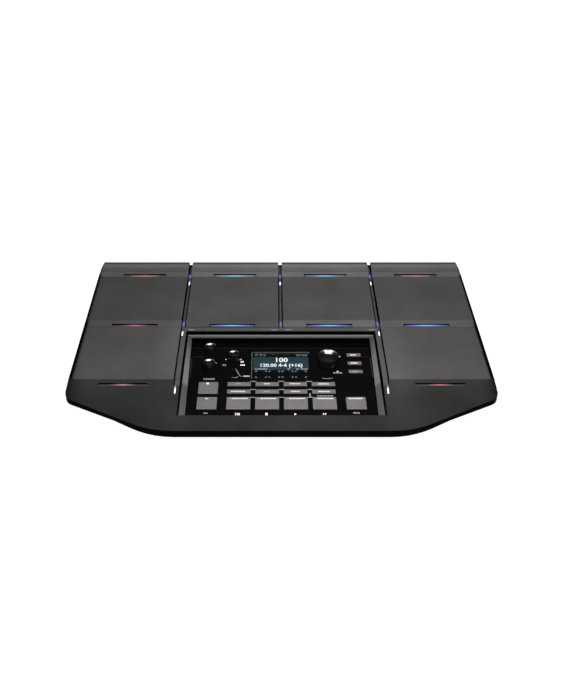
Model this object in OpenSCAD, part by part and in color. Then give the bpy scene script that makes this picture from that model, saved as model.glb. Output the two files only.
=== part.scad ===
// Sampling percussion pad: ten rubber pads in a terraced deck round a sunken control panel.
// Lengths are in millimetres. X runs right, Y runs to the back, Z up, and the table is Z = 0.
// Deck places are x across, v along the sloping deck from the lower pads' front edge, h square to it.

/* [Pad columns and rows] */
// Distance between the centre lines of neighbouring pad columns
column_pitch = 125.8; // [122:0.1:130]
// Open gap between neighbouring pad columns
column_gap = 6.2; // [5.4:0.2:7]
// Depth of a lower pad's playing face
lower_pad_d = 102.2; // [98:0.2:106]
// Depth of an upper pad's playing face
upper_pad_d = 101; // [97:0.5:105]
// Depth of a slim pad's top
slim_pad_d = 26.4; // [23:0.2:29]
// Gap between two rows of pads
row_gap = 0.4; // [0.3:0.1:0.8]
// Depth of the bevel in front of an upper pad
bevel_d = 10; // [9:0.5:12]
// Rise of an upper pad over a lower pad
bevel_h = 3; // [2.4:0.1:4]
// Depth of the riser in front of a slim pad
riser_d = 3.5; // [3.2:0.1:4.5]
// Rise of a slim pad over an upper pad
riser_h = 5; // [4:0.1:6]
// How far the lower pads reach in front of the bend between deck and apron
pad_front = 0.8; // [0.4:0.1:1.4]
// Thickness of a lower pad
pad_t = 6; // [5:0.1:6.2]
// Small bevel along the pads' front and outer top edges
pad_edge = 0.6; // [0.3:0.1:1.2]
// How far a pad gives when it is struck
pad_travel = 0.6; // [0.3:0.1:0.8]
// Arch of a slim pad's top
slim_crown = 0.8; // [0.2:0.1:1.4]
// Width of the ribs between the columns
rib_w = 2.4; // [2:0.1:2.8]

/* [Lights] */
// Length of a lit slot in front of a pad
slot_w = 59.4; // [50:0.2:66]
// Depth of the lit slot in a bevel or in the apron
slot_d = 4.4; // [3.6:0.1:5]
// Depth of the lit slot in a riser
riser_slot_d = 2.1; // [1.8:0.1:2.3]
// Distance from the lower pads' front edge to the lit slots in the apron
apron_slot_v = 7.2; // [5:0.1:9]
// How deep a light guide sits under the surface round it
guide_sink = 1; // [0.9:0.1:1.4]
// Room round a light guide in its slot
guide_clear = 0.5; // [0.4:0.1:0.6]
// Length of a light window in a rib
window_l = 8; // [6:0.5:9]
// Width of a light window
light_w = 1.4; // [1:0.1:1.8]
// Depth of a light window
window_t = 2.8; // [2:0.1:3.4]

/* [Case] */
// Slope of the deck
deck_tilt = 8; // [6.5:0.5:9.5]
// Slope of the front apron
apron_tilt = 15; // [13:0.5:16]
// Depth of the apron in front of the lower pads
apron_d = 77; // [72:1:84]
// Height of the upright front wall
front_wall_h = 8.9; // [8:0.1:11]
// Height of the front wall's lower edge above the table
rim_z = 8.3; // [8:0.1:11]
// Width of the rim round the pads
side_rim = 3.2; // [2.8:0.1:4]
// Height of the rim beside the pads
rim_h = 9; // [8.6:0.1:11]
// Height of the rim along the cut front corners
corner_rim_h = 5.6; // [5.2:0.1:7]
// Half of the straight front edge
front_half_w = 149.2; // [138:0.2:165]
// Distance of the side corners in front of the lower pads
side_corner_d = 29; // [25:0.5:36]
// Length of the taper at the rear corners
rear_taper_d = 24; // [18:1:34]
// Width of the taper at the rear corners
rear_taper_w = 2.6; // [2:0.1:8]
// Radius of the front corners
front_r = 120; // [80:1:140]
// Radius of the side corners
side_r = 14; // [10:1:24]
// Thickness of the apron's skin
skin_t = 3; // [2.6:0.1:3.2]
// Thickness of the bottom case's walls
wall_t = 3; // [2.5:0.1:3.5]
// Thickness of the bottom case's floor
floor_t = 3; // [2.8:0.1:3.2]
// Height of the rubber feet below the floor
foot_h = 4; // [3.6:0.1:4.4]
// Radius of the rubber feet
foot_r = 9; // [7:0.5:12]
// How far the floor lies inside the side rim
floor_in = 24; // [20:1:28]
// Distance of the feet from the middle
foot_x = 190; // [180:1:200]
// Distance of the front feet in front of the lower pads
foot_front_d = 14; // [8:1:20]
// Distance of the rear feet from the rear edge
foot_rear_d = 36; // [30:1:50]

/* [Control panel] */
// Depth of the panel below the deck
panel_sink = 15; // [13:0.1:15.4]
// Thickness of the panel
panel_t = 2; // [1.8:0.1:2.2]
// Width of the raised strips beside the panel
strip_w = 5.9; // [5:0.1:7]
// Depth of the raised strip behind the panel
strip_d = 7.6; // [6.5:0.1:8.5]
// Groove between the raised strips and the bezel
groove_w = 1.8; // [1.4:0.1:2.2]
// Groove behind the bezel
rear_groove_w = 2.6; // [2:0.1:3]
// Width of the bezel's side bevels at the back
ring_w = 5.4; // [4.5:0.1:6]
// Width of the bezel's side bevels at the front
ring_front_w = 7.2; // [6:0.1:7.6]
// Width of the bezel's rear bevel
ring_rear_w = 3.1; // [2.6:0.1:4]
// Drop of the bezel's bevels
ring_drop = 4.2; // [3.6:0.1:5]
// Depth of the bezel's rear edge below the deck
ring_sink = 3.5; // [3:0.1:4.2]
// Depth of the bezel's front edge below the deck
ring_front_sink = 7.4; // [7.2:0.1:8]
// Distance of the recess's front lip in front of the lower pads
lip_d = 55; // [52:0.1:57]
// Width of the display window
window_w = 70.6; // [64:0.2:76]
// Depth of the display window
window_d = 51.4; // [46:0.2:53]
// Thickness of the display window
window_glass_t = 1.2; // [1:0.1:1.4]
// Middle of the display, along the deck
display_v = 40.2; // [39.8:0.1:42]

/* [Keys] */
// Height of the keys above the panel
key_rise = 1; // [0.8:0.1:2]
// Travel of the keys
key_travel = 1; // [0.6:0.1:1.2]
// Width of the loop keys and of the thin keys
key_w = 28; // [26:0.2:29]
// Distance between the centres of two keys in a row
key_pitch = 34; // [33.4:0.1:34.6]
// Depth of the large keys
large_key_d = 21.4; // [20:0.2:22]
// Depth of the thin keys
thin_key_d = 7.2; // [6.2:0.1:8.2]
// Width of the keys at the panel's left and right
outer_key_w = 23.4; // [21:0.2:25]
// Distance of those keys from the middle
outer_key_x = 88.2; // [87:0.2:90]
// Width of the small side keys
side_key_w = 17.2; // [15:0.2:18]
// Depth of the small side keys
side_key_d = 6.2; // [5.4:0.1:7.6]
// Distance between the small side keys
side_key_pitch = 16.2; // [15.6:0.1:16.8]
// Distance of the small side keys from the middle
side_key_x = 92; // [90:0.2:93]

/* [Knobs] */
// Radius of the two level knobs
knob_r = 7.1; // [6.2:0.1:7.8]
// Radius of the tone knob
tone_knob_r = 6.7; // [6:0.1:7.2]
// Height of the small knobs
knob_h = 12.6; // [11:0.1:13.6]
// Radius of the value dial
dial_r = 13; // [11.5:0.1:13.4]
// Height of the value dial
dial_h = 15; // [13.5:0.1:16]
// Arch of the small knobs' tops
knob_dome = 1.3; // [0.8:0.1:1.8]
// Arch of the value dial's top
dial_dome = 2; // [1.2:0.1:2.6]
// Radius of the control shafts
shaft_r = 3; // [2.6:0.1:3]
// How far the value dial can be pushed in
dial_travel = 0.6; // [0.4:0.1:0.7]

/* [Rear panel] */
// Length of the rear panel
rear_panel_w = 404; // [400:1:410]
// Height of the rear panel
rear_panel_h = 34; // [32:0.5:36]
// Thickness of the rear panel
rear_panel_t = 1.2; // [1:0.1:1.5]
// Distance between the two phone jacks of a pair
jack_pitch = 30; // [27:0.5:33]
// Distance between two pairs of phone jacks
pair_pitch = 72; // [66:0.5:73]
// Distance of the outer phone jack from the rear panel's end
jack_edge = 26; // [22:0.5:30]
// Distance of the power button from the rear panel's end
power_edge = 30; // [26:0.5:36]
// Radius of the phone jacks' bores
jack_r = 3.2; // [3.15:0.05:3.4]
// Radius of the power button
power_r = 5; // [4:0.1:5.4]
// Travel of the power button
power_travel = 2; // [1:0.1:2.2]

/* [Stand mount] */
// Distance between the stand inserts from left to right
insert_x = 140; // [130:1:150]
// Distance between the stand inserts from front to back
insert_y = 90; // [80:1:96]
// Radius of the stand inserts' threaded holes
insert_hole_r = 2.5; // [2:0.1:3]

/* [Fits] */
// Room beside the pads
pad_clear = 0.5; // [0.4:0.1:0.7]
// Room between a key and its hole
key_clear = 0.35; // [0.3:0.05:0.45]
// Room between pieces that are seated on each other
seat = 0.2; // [0.15:0.05:0.25]
// Running room round a turning shaft
run_clear = 0.05; // [0.03:0.01:0.08]

/* [Hidden] */
$fn = 48;
far = 400;

// Rows along the deck
bevel_v = lower_pad_d + row_gap;
upper_v = bevel_v + bevel_d;
riser_v = upper_v + upper_pad_d + row_gap;
slim_v = riser_v + riser_d;
deck_end_v = slim_v + slim_pad_d;
slim_h = bevel_h + riser_h;

// Case box
case_w = 4 * column_pitch + 2 * side_rim - 0.4;
rear_inside = (deck_end_v + pad_clear) * cos(deck_tilt) + pad_t * sin(deck_tilt);
case_d = apron_d + rear_inside + side_rim;
front_y = -case_d / 2;
rear_y = case_d / 2;
edge_y = front_y + apron_d;
edge_z = rim_z + front_wall_h + apron_d * tan(apron_tilt);
top_z = edge_z + deck_end_v * sin(deck_tilt) + (slim_h + slim_crown) * cos(deck_tilt);
corner_y = front_y + 20;
bay_y = edge_y - pad_front - pad_clear;

// Outline corners seen from above, anticlockwise from the front left
corners = [
  [-front_half_w, front_y],
  [front_half_w, front_y],
  [case_w / 2, edge_y - side_corner_d],
  [case_w / 2, rear_y - rear_taper_d],
  [case_w / 2 - rear_taper_w, rear_y],
  [rear_taper_w - case_w / 2, rear_y],
  [-case_w / 2, rear_y - rear_taper_d],
  [-case_w / 2, edge_y - side_corner_d]
];
rear_r = 6;
taper_r = 30;
corner_r = [front_r, front_r, side_r, taper_r, rear_r, rear_r, taper_r, side_r];

// Levels square to the deck
frame_h = 9.9;
plate_h = -10.2;
plate_t = 1.2;
panel_low = -panel_sink - panel_t;
bezel_low = panel_low - 2.2;
key_board_h = panel_low - 4.5;
control_board_h = panel_low - 9.5;
board_t = 1.6;

// Bottom case
tub_in = side_rim + 0.3;
tub_drop = pad_t + 0.7;
apron_tub_drop = skin_t + 0.5;
floor_z = foot_h + floor_t;
rear_wall_y = rear_y - tub_in;
post_r = 5.2;
land_t = 3;
head_r = 2.75;
head_h = 2;
screw_r = 1.4;
apron_screw_l = 11;
floor_ins = [14, 22, floor_in, floor_in - 6, tub_in, floor_in - 6, floor_in, 22];
feet = [for (x = [-1, 1]) for (y = [edge_y - foot_front_d, rear_y - foot_rear_d]) [x * foot_x, y]];
foot_socket = 1.2;

// Middle of the light windows in the apron
apron_window_v = -19.5;

// Recess
strip_x = column_pitch + rib_w / 2 - strip_w;
strip_back_v = bevel_v - 2;
strip_v = strip_back_v - strip_d;
ring_x = strip_x - groove_w;
ring_v = strip_v - rear_groove_w;
ring_front_v = -lip_d / cos(deck_tilt) - 0.1;
panel_fit = 0.3;
well_x = ring_x - ring_w;
well_v = ring_v - ring_rear_w;
well_front_x = ring_x - ring_front_w;
ring_land = 0.4;
ring_tilt = atan((ring_front_sink - ring_sink) / (ring_v - ring_front_v));

// Controls: names with places x, v on the panel
large_key_v = -28.2;
play_key_v = -1.1;
thin_key_v = [5.9, -7.65];
side_key_v = 45.7;
keys = concat(
  [
    ["play_key", -outer_key_x, play_key_v, outer_key_w, large_key_d],
    ["record_key", -outer_key_x, large_key_v, outer_key_w, large_key_d],
    ["exit_key", outer_key_x, large_key_v, outer_key_w, large_key_d]
  ],
  [for (i = [0:3]) [str("edit_key_", i + 1), (i - 1.5) * key_pitch, thin_key_v[0], key_w, thin_key_d]],
  [for (i = [0:3]) [str("tool_key_", i + 1), (i - 1.5) * key_pitch, thin_key_v[1], key_w, thin_key_d]],
  [for (i = [0:3]) [str("loop_key_", i + 1), (i - 1.5) * key_pitch, large_key_v, key_w, large_key_d]],
  [for (i = [0:2]) let (v = side_key_v + (1 - i) * side_key_pitch)
    [str("side_key_", i + 1), side_key_x, v, side_key_w, side_key_d]]
);
key_flange = 1;
flange_t = 0.8;
switch_h = 1.4;
board_split_v = 15;

// Knobs: x, v, radius, height, lift off the panel, arch of the top
knob_lift = 0.5;
dial_lift = 1.4;
turned = [
  [-88.8, 67.3, knob_r, knob_h, knob_lift, knob_dome],
  [-88.4, 35.5, knob_r, knob_h, knob_lift, knob_dome],
  [-58.5, 52.8, tone_knob_r, knob_h, knob_lift, knob_dome],
  [58.7, 45.7, dial_r, dial_h, dial_lift, dial_dome]
];
bush_r = shaft_r + 0.6;
bush_rise = 1.5;
pot_w = 10;
press_clear = 0.02;

// Screw places: deck posts by x, v; bezel posts by x, v; apron bosses by x, y
deck_posts = concat(
  [for (x = [-1, 1]) for (p = [[216, 16], [216, 120], [208, 222], [112, 150]]) [x * p.x, p.y]],
  [[0, 190]]
);
bezel_posts = [for (x = [-1, 1]) for (v = [-34, 70]) [x * (ring_x - ring_w / 2), v]];
apron_bosses = [[-172, edge_y - 20], [172, edge_y - 20]];
boss_r = 4.5;

// Rear sockets by x: the small sockets share the room between the jacks and the power button
jack_xs = [for (p = [0:2]) for (i = [0:1]) jack_edge - rear_panel_w / 2 + p * pair_pitch + i * jack_pitch];
power_x = rear_panel_w / 2 - power_edge;
socket_from = jack_xs[len(jack_xs) - 1];
socket_span = power_x - socket_from;
midi_xs = [socket_from + 0.264 * socket_span, socket_from + 0.414 * socket_span];
usb_x = socket_from + 0.62 * socket_span;
inlet_x = socket_from + 0.828 * socket_span;
jack_board_z = 22;
jack_board_in = 10;
jack_board_d = 36;
socket_z = jack_board_z + board_t + 7.4;
rear_panel_z = socket_z - 0.4;
jack_body_w = 15.6;
jack_body_d = 23;
jack_body_h = 13;
nose_r = 5.2;
midi_r = 8.2;
midi_body = [19, 12, 17];
midi_ring = [6, 7.2];
usb_w = 12;
usb_h = 11.2;
usb_d = 16;
usb_hole = [8.6, 8];
usb_tongue = [5.6, 3.2];
inlet_w = 9.6;
inlet_d = 14;
inlet_hole_r = 3.1;
inlet_pin_r = 1;
power_switch = [10, 10, 12];
power_switch_in = 13;
power_out = 2.8;
nose_out = 2;
midi_out = 0.8;
button_in = 7;
socket_neck = 4;
jack_bore_in = 22;
inlet_bore_in = 9;

// Stand inserts
insert_r = 4;
insert_l = 8;
insert_mid_y = 34;
insert_boss_r = 7;

// Main board
main_board_w = 110;
main_board_y = [8, 98];
main_board_z = 14;

key_names = [for (k = keys) k[0]];
knob_names = ["main_level_knob", "phones_level_knob", "tone_knob", "value_dial"];
shaft_names = ["main_level_shaft", "phones_level_shaft", "tone_shaft", "dial_shaft"];
pad_names = concat(
  ["lower_pad_1", "lower_pad_4"],
  [for (i = [1:4]) str("upper_pad_", i)],
  [for (i = [1:4]) str("slim_pad_", i)]
);

// Plane geometry
function unit(p) = p / norm(p);
function even(t) = [for (i = [0:7]) t];

function corner_arc(a, b, c, r, steps) =
  let (
    back = unit(a - b),
    ahead = unit(c - b),
    half = acos(back * ahead) / 2,
    centre = b + unit(back + ahead) * r / sin(half),
    first = b + back * r / tan(half) - centre,
    last = b + ahead * r / tan(half) - centre,
    start = atan2(first.y, first.x),
    turn = (atan2(last.y, last.x) - start + 540) % 360 - 180
  )
  [for (i = [0:steps]) centre + r * [cos(start + turn * i / steps), sin(start + turn * i / steps)]];

function rounded(points, radii, steps = 5) =
  let (n = len(points))
  [for (i = [0:n - 1]) each corner_arc(points[(i + n - 1) % n], points[i], points[(i + 1) % n], radii[i], steps)];

function crossing(p, d, q, e) = p + d * cross(q - p, e) / cross(d, e);

function inset(points, t) =
  let (
    n = len(points),
    dir = [for (i = [0:n - 1]) unit(points[(i + 1) % n] - points[i])],
    base = [for (i = [0:n - 1]) points[i] + t[i] * [-dir[i].y, dir[i].x]]
  )
  [for (i = [0:n - 1]) crossing(base[(i + n - 1) % n], dir[(i + n - 1) % n], base[i], dir[i])];

function plan(t) =
  rounded(inset(corners, t), [for (i = [0:7]) max(corner_r[i] - max(t[i], t[(i + 7) % 8]), 1)]);

// Heights of the apron and of planes at height h over the deck, at a place y
function apron_z(y) = edge_z + (y - edge_y) * tan(apron_tilt);
function deck_z(y, h = 0) = edge_z + (y - edge_y) * tan(deck_tilt) + h / cos(deck_tilt);
function deck_y(v, h = 0) = edge_y + v * cos(deck_tilt) - h * sin(deck_tilt);

// Left and right edge of the pads in a column, counted 0 to 3, and the column's middle
function column_x(c) = (c - 1.5) * column_pitch;
function pad_x0(c) = c == 0 ? pad_clear + side_rim - case_w / 2 : (c - 2) * column_pitch + column_gap / 2;
function pad_x1(c) = -pad_x0(3 - c);

// Frames and plain shapes
module on_deck() translate([0, edge_y, edge_z]) rotate([deck_tilt, 0, 0]) children();
module on_apron() translate([0, edge_y, edge_z]) rotate([apron_tilt, 0, 0]) children();
module block(x, v, h) translate([x[0], v[0], h[0]]) cube([x[1] - x[0], v[1] - v[0], h[1] - h[0]]);
module bar(x, points) translate([x[0], 0, 0]) rotate([90, 0, 90]) linear_extrude(x[1] - x[0]) polygon(points);
module plan_prism(t) translate([0, 0, -far / 2]) linear_extrude(far) polygon(plan(t));
module centred(x, v, w, d, h) block([x - w / 2, x + w / 2], [v - d / 2, v + d / 2], h);
module below_deck(h) on_deck() block([-far, far], [-far, far], [-far, h]);

// Pads
module rubber_pad(c, points) {
  intersection() {
    on_deck() bar([pad_x0(c), pad_x1(c)], points);
    plan_prism(even(side_rim + pad_clear));
  }
}

module lower_pad(c) {
  color("#4b4a4b") rubber_pad(c, [
    [-pad_front, -pad_t],
    [lower_pad_d, -pad_t],
    [lower_pad_d, 0],
    [pad_edge - pad_front, 0],
    [-pad_front, -pad_edge]
  ]);
}

module upper_pad(c) {
  back = upper_v + upper_pad_d;
  color("#454445") difference() {
    rubber_pad(c, [
      [bevel_v, -pad_t],
      [back, -pad_t],
      [back, bevel_h],
      [upper_v, bevel_h],
      [bevel_v, 0]
    ]);
    on_deck() centred(column_x(c), bevel_v, slot_w, 2 * slot_d, [-far, far]);
  }
}

function crown(t) = slim_h + slim_crown * (1 - pow(2 * t - 1, 2));

module slim_pad(c) {
  steps = 6;
  color("#515051") difference() {
    rubber_pad(c, concat(
      [[riser_v, -pad_t], [deck_end_v, -pad_t], [deck_end_v, slim_h - 2 * pad_edge]],
      [for (i = [0:steps]) let (t = i / steps) [deck_end_v - pad_edge - t * (slim_pad_d - pad_edge), crown(t)]],
      [[riser_v, bevel_h]]
    ));
    on_deck() centred(column_x(c), riser_v, slot_w, 2 * riser_slot_d, [-far, far]);
  }
}

// Case
module top_case() {
  color("#161617") difference() {
    union() {
      difference() {
        intersection() {
          plan_prism(even(0));
          bar([-far, far], [
            [front_y, rim_z],
            [corner_y, apron_z(corner_y) - corner_rim_h],
            [edge_y, edge_z - rim_h],
            [rear_y, deck_z(rear_y) - rim_h],
            [rear_y, deck_z(rear_y)],
            [edge_y, edge_z],
            [front_y, apron_z(front_y)]
          ]);
        }
        intersection() {
          plan_prism(even(side_rim));
          bar([-far, far], [
            [front_y, -far],
            [front_y, apron_z(front_y) - skin_t],
            [bay_y, apron_z(bay_y) - skin_t],
            [bay_y, far],
            [rear_y, far],
            [rear_y, -far]
          ]);
        }
      }
      intersection() {
        for (p = apron_bosses) translate([p.x, p.y, floor_z + seat]) cylinder(h = far, r = boss_r);
        bar([-far, far], [
          [front_y, -far],
          [front_y, apron_z(front_y) - skin_t / 2],
          [bay_y, apron_z(bay_y) - skin_t / 2],
          [bay_y, -far]
        ]);
      }
    }
    block([-strip_x, strip_x], [edge_y - lip_d, edge_y + 1], [-far, far]);
    on_apron() for (c = [0, 3]) {
      centred(column_x(c), -apron_slot_v - slot_d / 2, slot_w, slot_d, [-far, far]);
    }
    on_apron() for (x = [-1, 1]) {
      centred(x * column_pitch, apron_window_v, light_w + 2 * seat, window_l + 2 * seat, [-far, far]);
    }
    for (p = apron_bosses) translate([p.x, p.y, 0]) cylinder(h = floor_z + 12, r = screw_r + run_clear);
  }
}

// Solid under the deck line, narrowing to the floor
module tub(rim_in, floor_ins, low_z, lift) {
  skin = 0.02;
  line = [
    [front_y, apron_z(front_y) - apron_tub_drop + lift],
    [corner_y, apron_z(corner_y) - apron_tub_drop + lift],
    [edge_y, edge_z - tub_drop + lift],
    [rear_y, deck_z(rear_y) - tub_drop + lift]
  ];
  hull() {
    intersection() {
      plan_prism(even(rim_in));
      bar([-far, far], concat(line, [for (i = [3:-1:0]) line[i] - [0, skin]]));
    }
    translate([0, 0, low_z]) linear_extrude(skin) polygon(plan(floor_ins));
  }
}

module screw_posts(places, top_h, r) {
  intersection() {
    for (p = places) translate([p.x, deck_y(p.y, top_h), floor_z - 1]) cylinder(h = far, r = r);
    below_deck(top_h - seat);
  }
}

module screw_wells(places, top_h) {
  for (p = places) {
    y = deck_y(p.y, top_h);
    translate([p.x, y, 0]) cylinder(h = deck_z(y, top_h) - land_t, r = head_r + seat);
    translate([p.x, y, 0]) cylinder(h = far, r = screw_r + seat);
  }
}

module bottom_case() {
  rear_open_w = rear_panel_w - 8;
  rear_open_h = rear_panel_h - 8;
  color("#1c1c1e") difference() {
    union() {
      difference() {
        tub(tub_in, floor_ins, foot_h, 0);
        tub(tub_in + wall_t, [for (t = floor_ins) t + wall_t], floor_z, 4);
      }
      screw_posts(deck_posts, plate_h - plate_t, post_r);
      screw_posts(bezel_posts, bezel_low, boss_r);
      for (x = [-1, 1]) for (y = [-1, 1]) {
        translate([x * insert_x / 2, insert_mid_y + y * insert_y / 2, foot_h])
          cylinder(h = insert_l + 2 * floor_t, r = insert_boss_r);
      }
      for (x = [-1, 1]) for (y = main_board_y) {
        translate([x * (main_board_w / 2 - 5), y + (y == main_board_y[0] ? 5 : -5), floor_z - 1])
          cylinder(h = main_board_z - seat - floor_z + 1, r = 3);
      }
      for (x = [-1, 0, 1]) {
        translate([x * (rear_panel_w / 2 - 2 * jack_board_in), rear_wall_y - 28, floor_z - 1])
          cylinder(h = jack_board_z - seat - floor_z + 1, r = 3);
      }
    }
    screw_wells(deck_posts, plate_h - plate_t);
    screw_wells(bezel_posts, bezel_low);
    for (p = apron_bosses) translate([p.x, p.y, 0]) {
      cylinder(h = floor_z - 1.2, r = head_r + seat);
      cylinder(h = floor_z + 1, r = screw_r + seat);
    }
    for (p = feet) translate([p.x, p.y, 0]) cylinder(h = foot_h + foot_socket, r = foot_r + seat);
    for (x = [-1, 1]) for (y = [-1, 1]) {
      translate([x * insert_x / 2, insert_mid_y + y * insert_y / 2, 0])
        cylinder(h = foot_h + insert_l + seat, r = insert_r + run_clear);
    }
    translate([-rear_open_w / 2, rear_wall_y - 2 * wall_t, rear_panel_z - rear_open_h / 2])
      cube([rear_open_w, 3 * wall_t, rear_open_h]);
    translate([0, rear_wall_y - rear_panel_t - seat, rear_panel_z - rear_panel_h / 2 - seat])
      translate([-rear_panel_w / 2 - seat, 0, 0])
      cube([rear_panel_w + 2 * seat, far, rear_panel_h + 2 * seat]);
  }
}

module rubber_feet() {
  edge = 1.2;
  top = foot_h + foot_socket - seat;
  color("#0f0f10") for (p = feet) translate([p.x, p.y, 0]) rotate_extrude()
    polygon([[0, 0], [foot_r - edge, 0], [foot_r, edge], [foot_r, top], [0, top]]);
}

module screw(x, y, seat_z, length) {
  translate([x, y, seat_z - head_h - run_clear]) cylinder(h = head_h, r = head_r);
  translate([x, y, seat_z - head_h - run_clear]) cylinder(h = head_h + length, r = screw_r);
}

module case_screws() {
  color("#8d8f92") {
    for (p = deck_posts) {
      y = deck_y(p.y, plate_h - plate_t);
      screw(p.x, y, deck_z(y, plate_h - plate_t) - land_t, land_t + 0.6);
    }
    for (p = bezel_posts) {
      y = deck_y(p.y, bezel_low);
      screw(p.x, y, deck_z(y, bezel_low) - land_t, land_t + 5);
    }
    for (p = apron_bosses) screw(p.x, p.y, floor_z - 1.2, apron_screw_l);
  }
}

module stand_inserts() {
  color("#b5934c") for (x = [-1, 1]) for (y = [-1, 1]) {
    translate([x * insert_x / 2, insert_mid_y + y * insert_y / 2, foot_h]) difference() {
      cylinder(h = insert_l, r = insert_r);
      translate([0, 0, -1]) cylinder(h = insert_l + 2, r = insert_hole_r);
    }
  }
}

// Deck under the pads
module divider_frame() {
  step_v = deck_end_v - 9;
  rib_top = [[step_v, -frame_h], [step_v, 0.5 - pad_t], [deck_end_v - 1, 0.5 - pad_t], [deck_end_v - 1, 0]];
  color("#4d4c4d") on_deck() difference() {
    union() {
      for (i = [-1, 1]) {
        bar([i * column_pitch - rib_w / 2, i * column_pitch + rib_w / 2],
          concat([[-pad_front, 0], [-pad_front, -frame_h]], rib_top));
        side = i * (strip_x + strip_w / 2);
        block([side - strip_w / 2, side + strip_w / 2], [-pad_front, strip_back_v], [-frame_h, 0]);
      }
      bar([-rib_w / 2, rib_w / 2], concat([[strip_v, 0], [strip_v, -frame_h]], rib_top));
      block([-strip_x - 1, strip_x + 1], [strip_v, strip_back_v], [-frame_h, 0]);
    }
    for (p = rib_windows) centred(p.x, p.y, light_w + seat, window_l + 2 * seat, [-window_t - seat, 1]);
  }
}

// Light windows in the ribs, as x, v of their middles
rib_windows = concat(
  [for (i = [-1:1]) [i * column_pitch, upper_v + upper_pad_d - 12]],
  [for (i = [-1:1]) [i * column_pitch, slim_v + window_l / 2]],
  [for (i = [-1:1]) [i * column_pitch, bevel_v + bevel_d / 2]],
  [for (i = [-1, 1]) [i * column_pitch, strip_v - window_l / 2 - 1]]
);

module gap_light_windows() {
  color("#e9e6ff") {
    on_deck() for (p = rib_windows) centred(p.x, p.y, light_w, window_l, [-window_t, 0]);
    on_apron() for (x = [-1, 1]) centred(x * column_pitch, apron_window_v, light_w, window_l, [-skin_t - 1, 0]);
  }
}

module pad_deck() {
  color("#a7a9ab") difference() {
    intersection() {
      on_deck() difference() {
        block([-far, far], [pad_clear + 2, deck_end_v], [plate_h - plate_t, plate_h]);
        block([-strip_x - 1, strip_x + 1], [-far, strip_v + 1], [-far, far]);
      }
      plan_prism(even(side_rim + 9));
    }
    for (p = deck_posts) {
      translate([p.x, deck_y(p.y, plate_h - plate_t), 0]) cylinder(h = far, r = screw_r + run_clear);
    }
  }
}

// Cushions and sensors lie under the pads, clear of the light strips
sensor_h = plate_h + run_clear;
sensor_t = 0.4;
cushion_low = sensor_h + sensor_t + run_clear;
cushion_top = -pad_t - pad_travel - 0.15;
pad_beds = concat(
  [for (c = [0, 3]) [c, 8, lower_pad_d - 6]],
  [for (c = [0:3]) [c, upper_v + 4, upper_v + upper_pad_d - 4]],
  [for (c = [0:3]) [c, slim_v + 3, deck_end_v - 9]]
);
bed_margin = 9;

module bed(b, margin, h) {
  on_deck() block([pad_x0(b[0]) + margin, pad_x1(b[0]) - margin], [b[1], b[2]], h);
}

module pad_sensors() {
  color("#c79b3c") for (b = pad_beds) bed(b, bed_margin + 3, [sensor_h, sensor_h + sensor_t]);
}

module pad_cushions() {
  color("#2b2b2d") for (b = pad_beds) bed(b, bed_margin, [cushion_low, cushion_top]);
}

// Light guides stand on light strips, in the slots of the pads and the apron
strip_board_t = 1;
light_board_d = 6.2;
light_board_w = slot_w + 6;
light_board_top = plate_h + run_clear + strip_board_t;
apron_board_top = -skin_t - 4;

function bevel_at(v) = bevel_h * (v - bevel_v) / bevel_d;
function riser_at(v) = bevel_h + riser_h * (v - riser_v) / riser_d;

module slot_light_guides() {
  guide_w = slot_w - 2 * guide_clear;
  bevel_span = [bevel_v, bevel_v + slot_d - guide_clear];
  riser_span = [riser_v, riser_v + riser_slot_d - guide_clear];
  color("#d9b8e6") {
    on_deck() for (c = [0:3]) {
      x = [column_x(c) - guide_w / 2, column_x(c) + guide_w / 2];
      bar(x, [
        [bevel_span[0], light_board_top + run_clear],
        [bevel_span[1], light_board_top + run_clear],
        [bevel_span[1], bevel_at(bevel_span[1]) - guide_sink],
        [bevel_span[0], bevel_at(bevel_span[0]) - guide_sink]
      ]);
      bar(x, [
        [riser_span[0], light_board_top + run_clear],
        [riser_span[1], light_board_top + run_clear],
        [riser_span[1], riser_at(riser_span[1]) - guide_sink],
        [riser_span[0], riser_at(riser_span[0]) - guide_sink / 2]
      ]);
    }
    on_apron() for (c = [0, 3]) {
      centred(column_x(c), -apron_slot_v - slot_d / 2, guide_w, slot_d - 2 * guide_clear,
        [apron_board_top + run_clear, -guide_sink]);
    }
  }
}

// Control panel group
// Outline of the well in the bezel, made smaller all round by fit
function well(fit, front) = [
  [fit - well_front_x, front],
  [well_front_x - fit, front],
  [well_x - fit, well_v - fit],
  [fit - well_x, well_v - fit]
];

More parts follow.
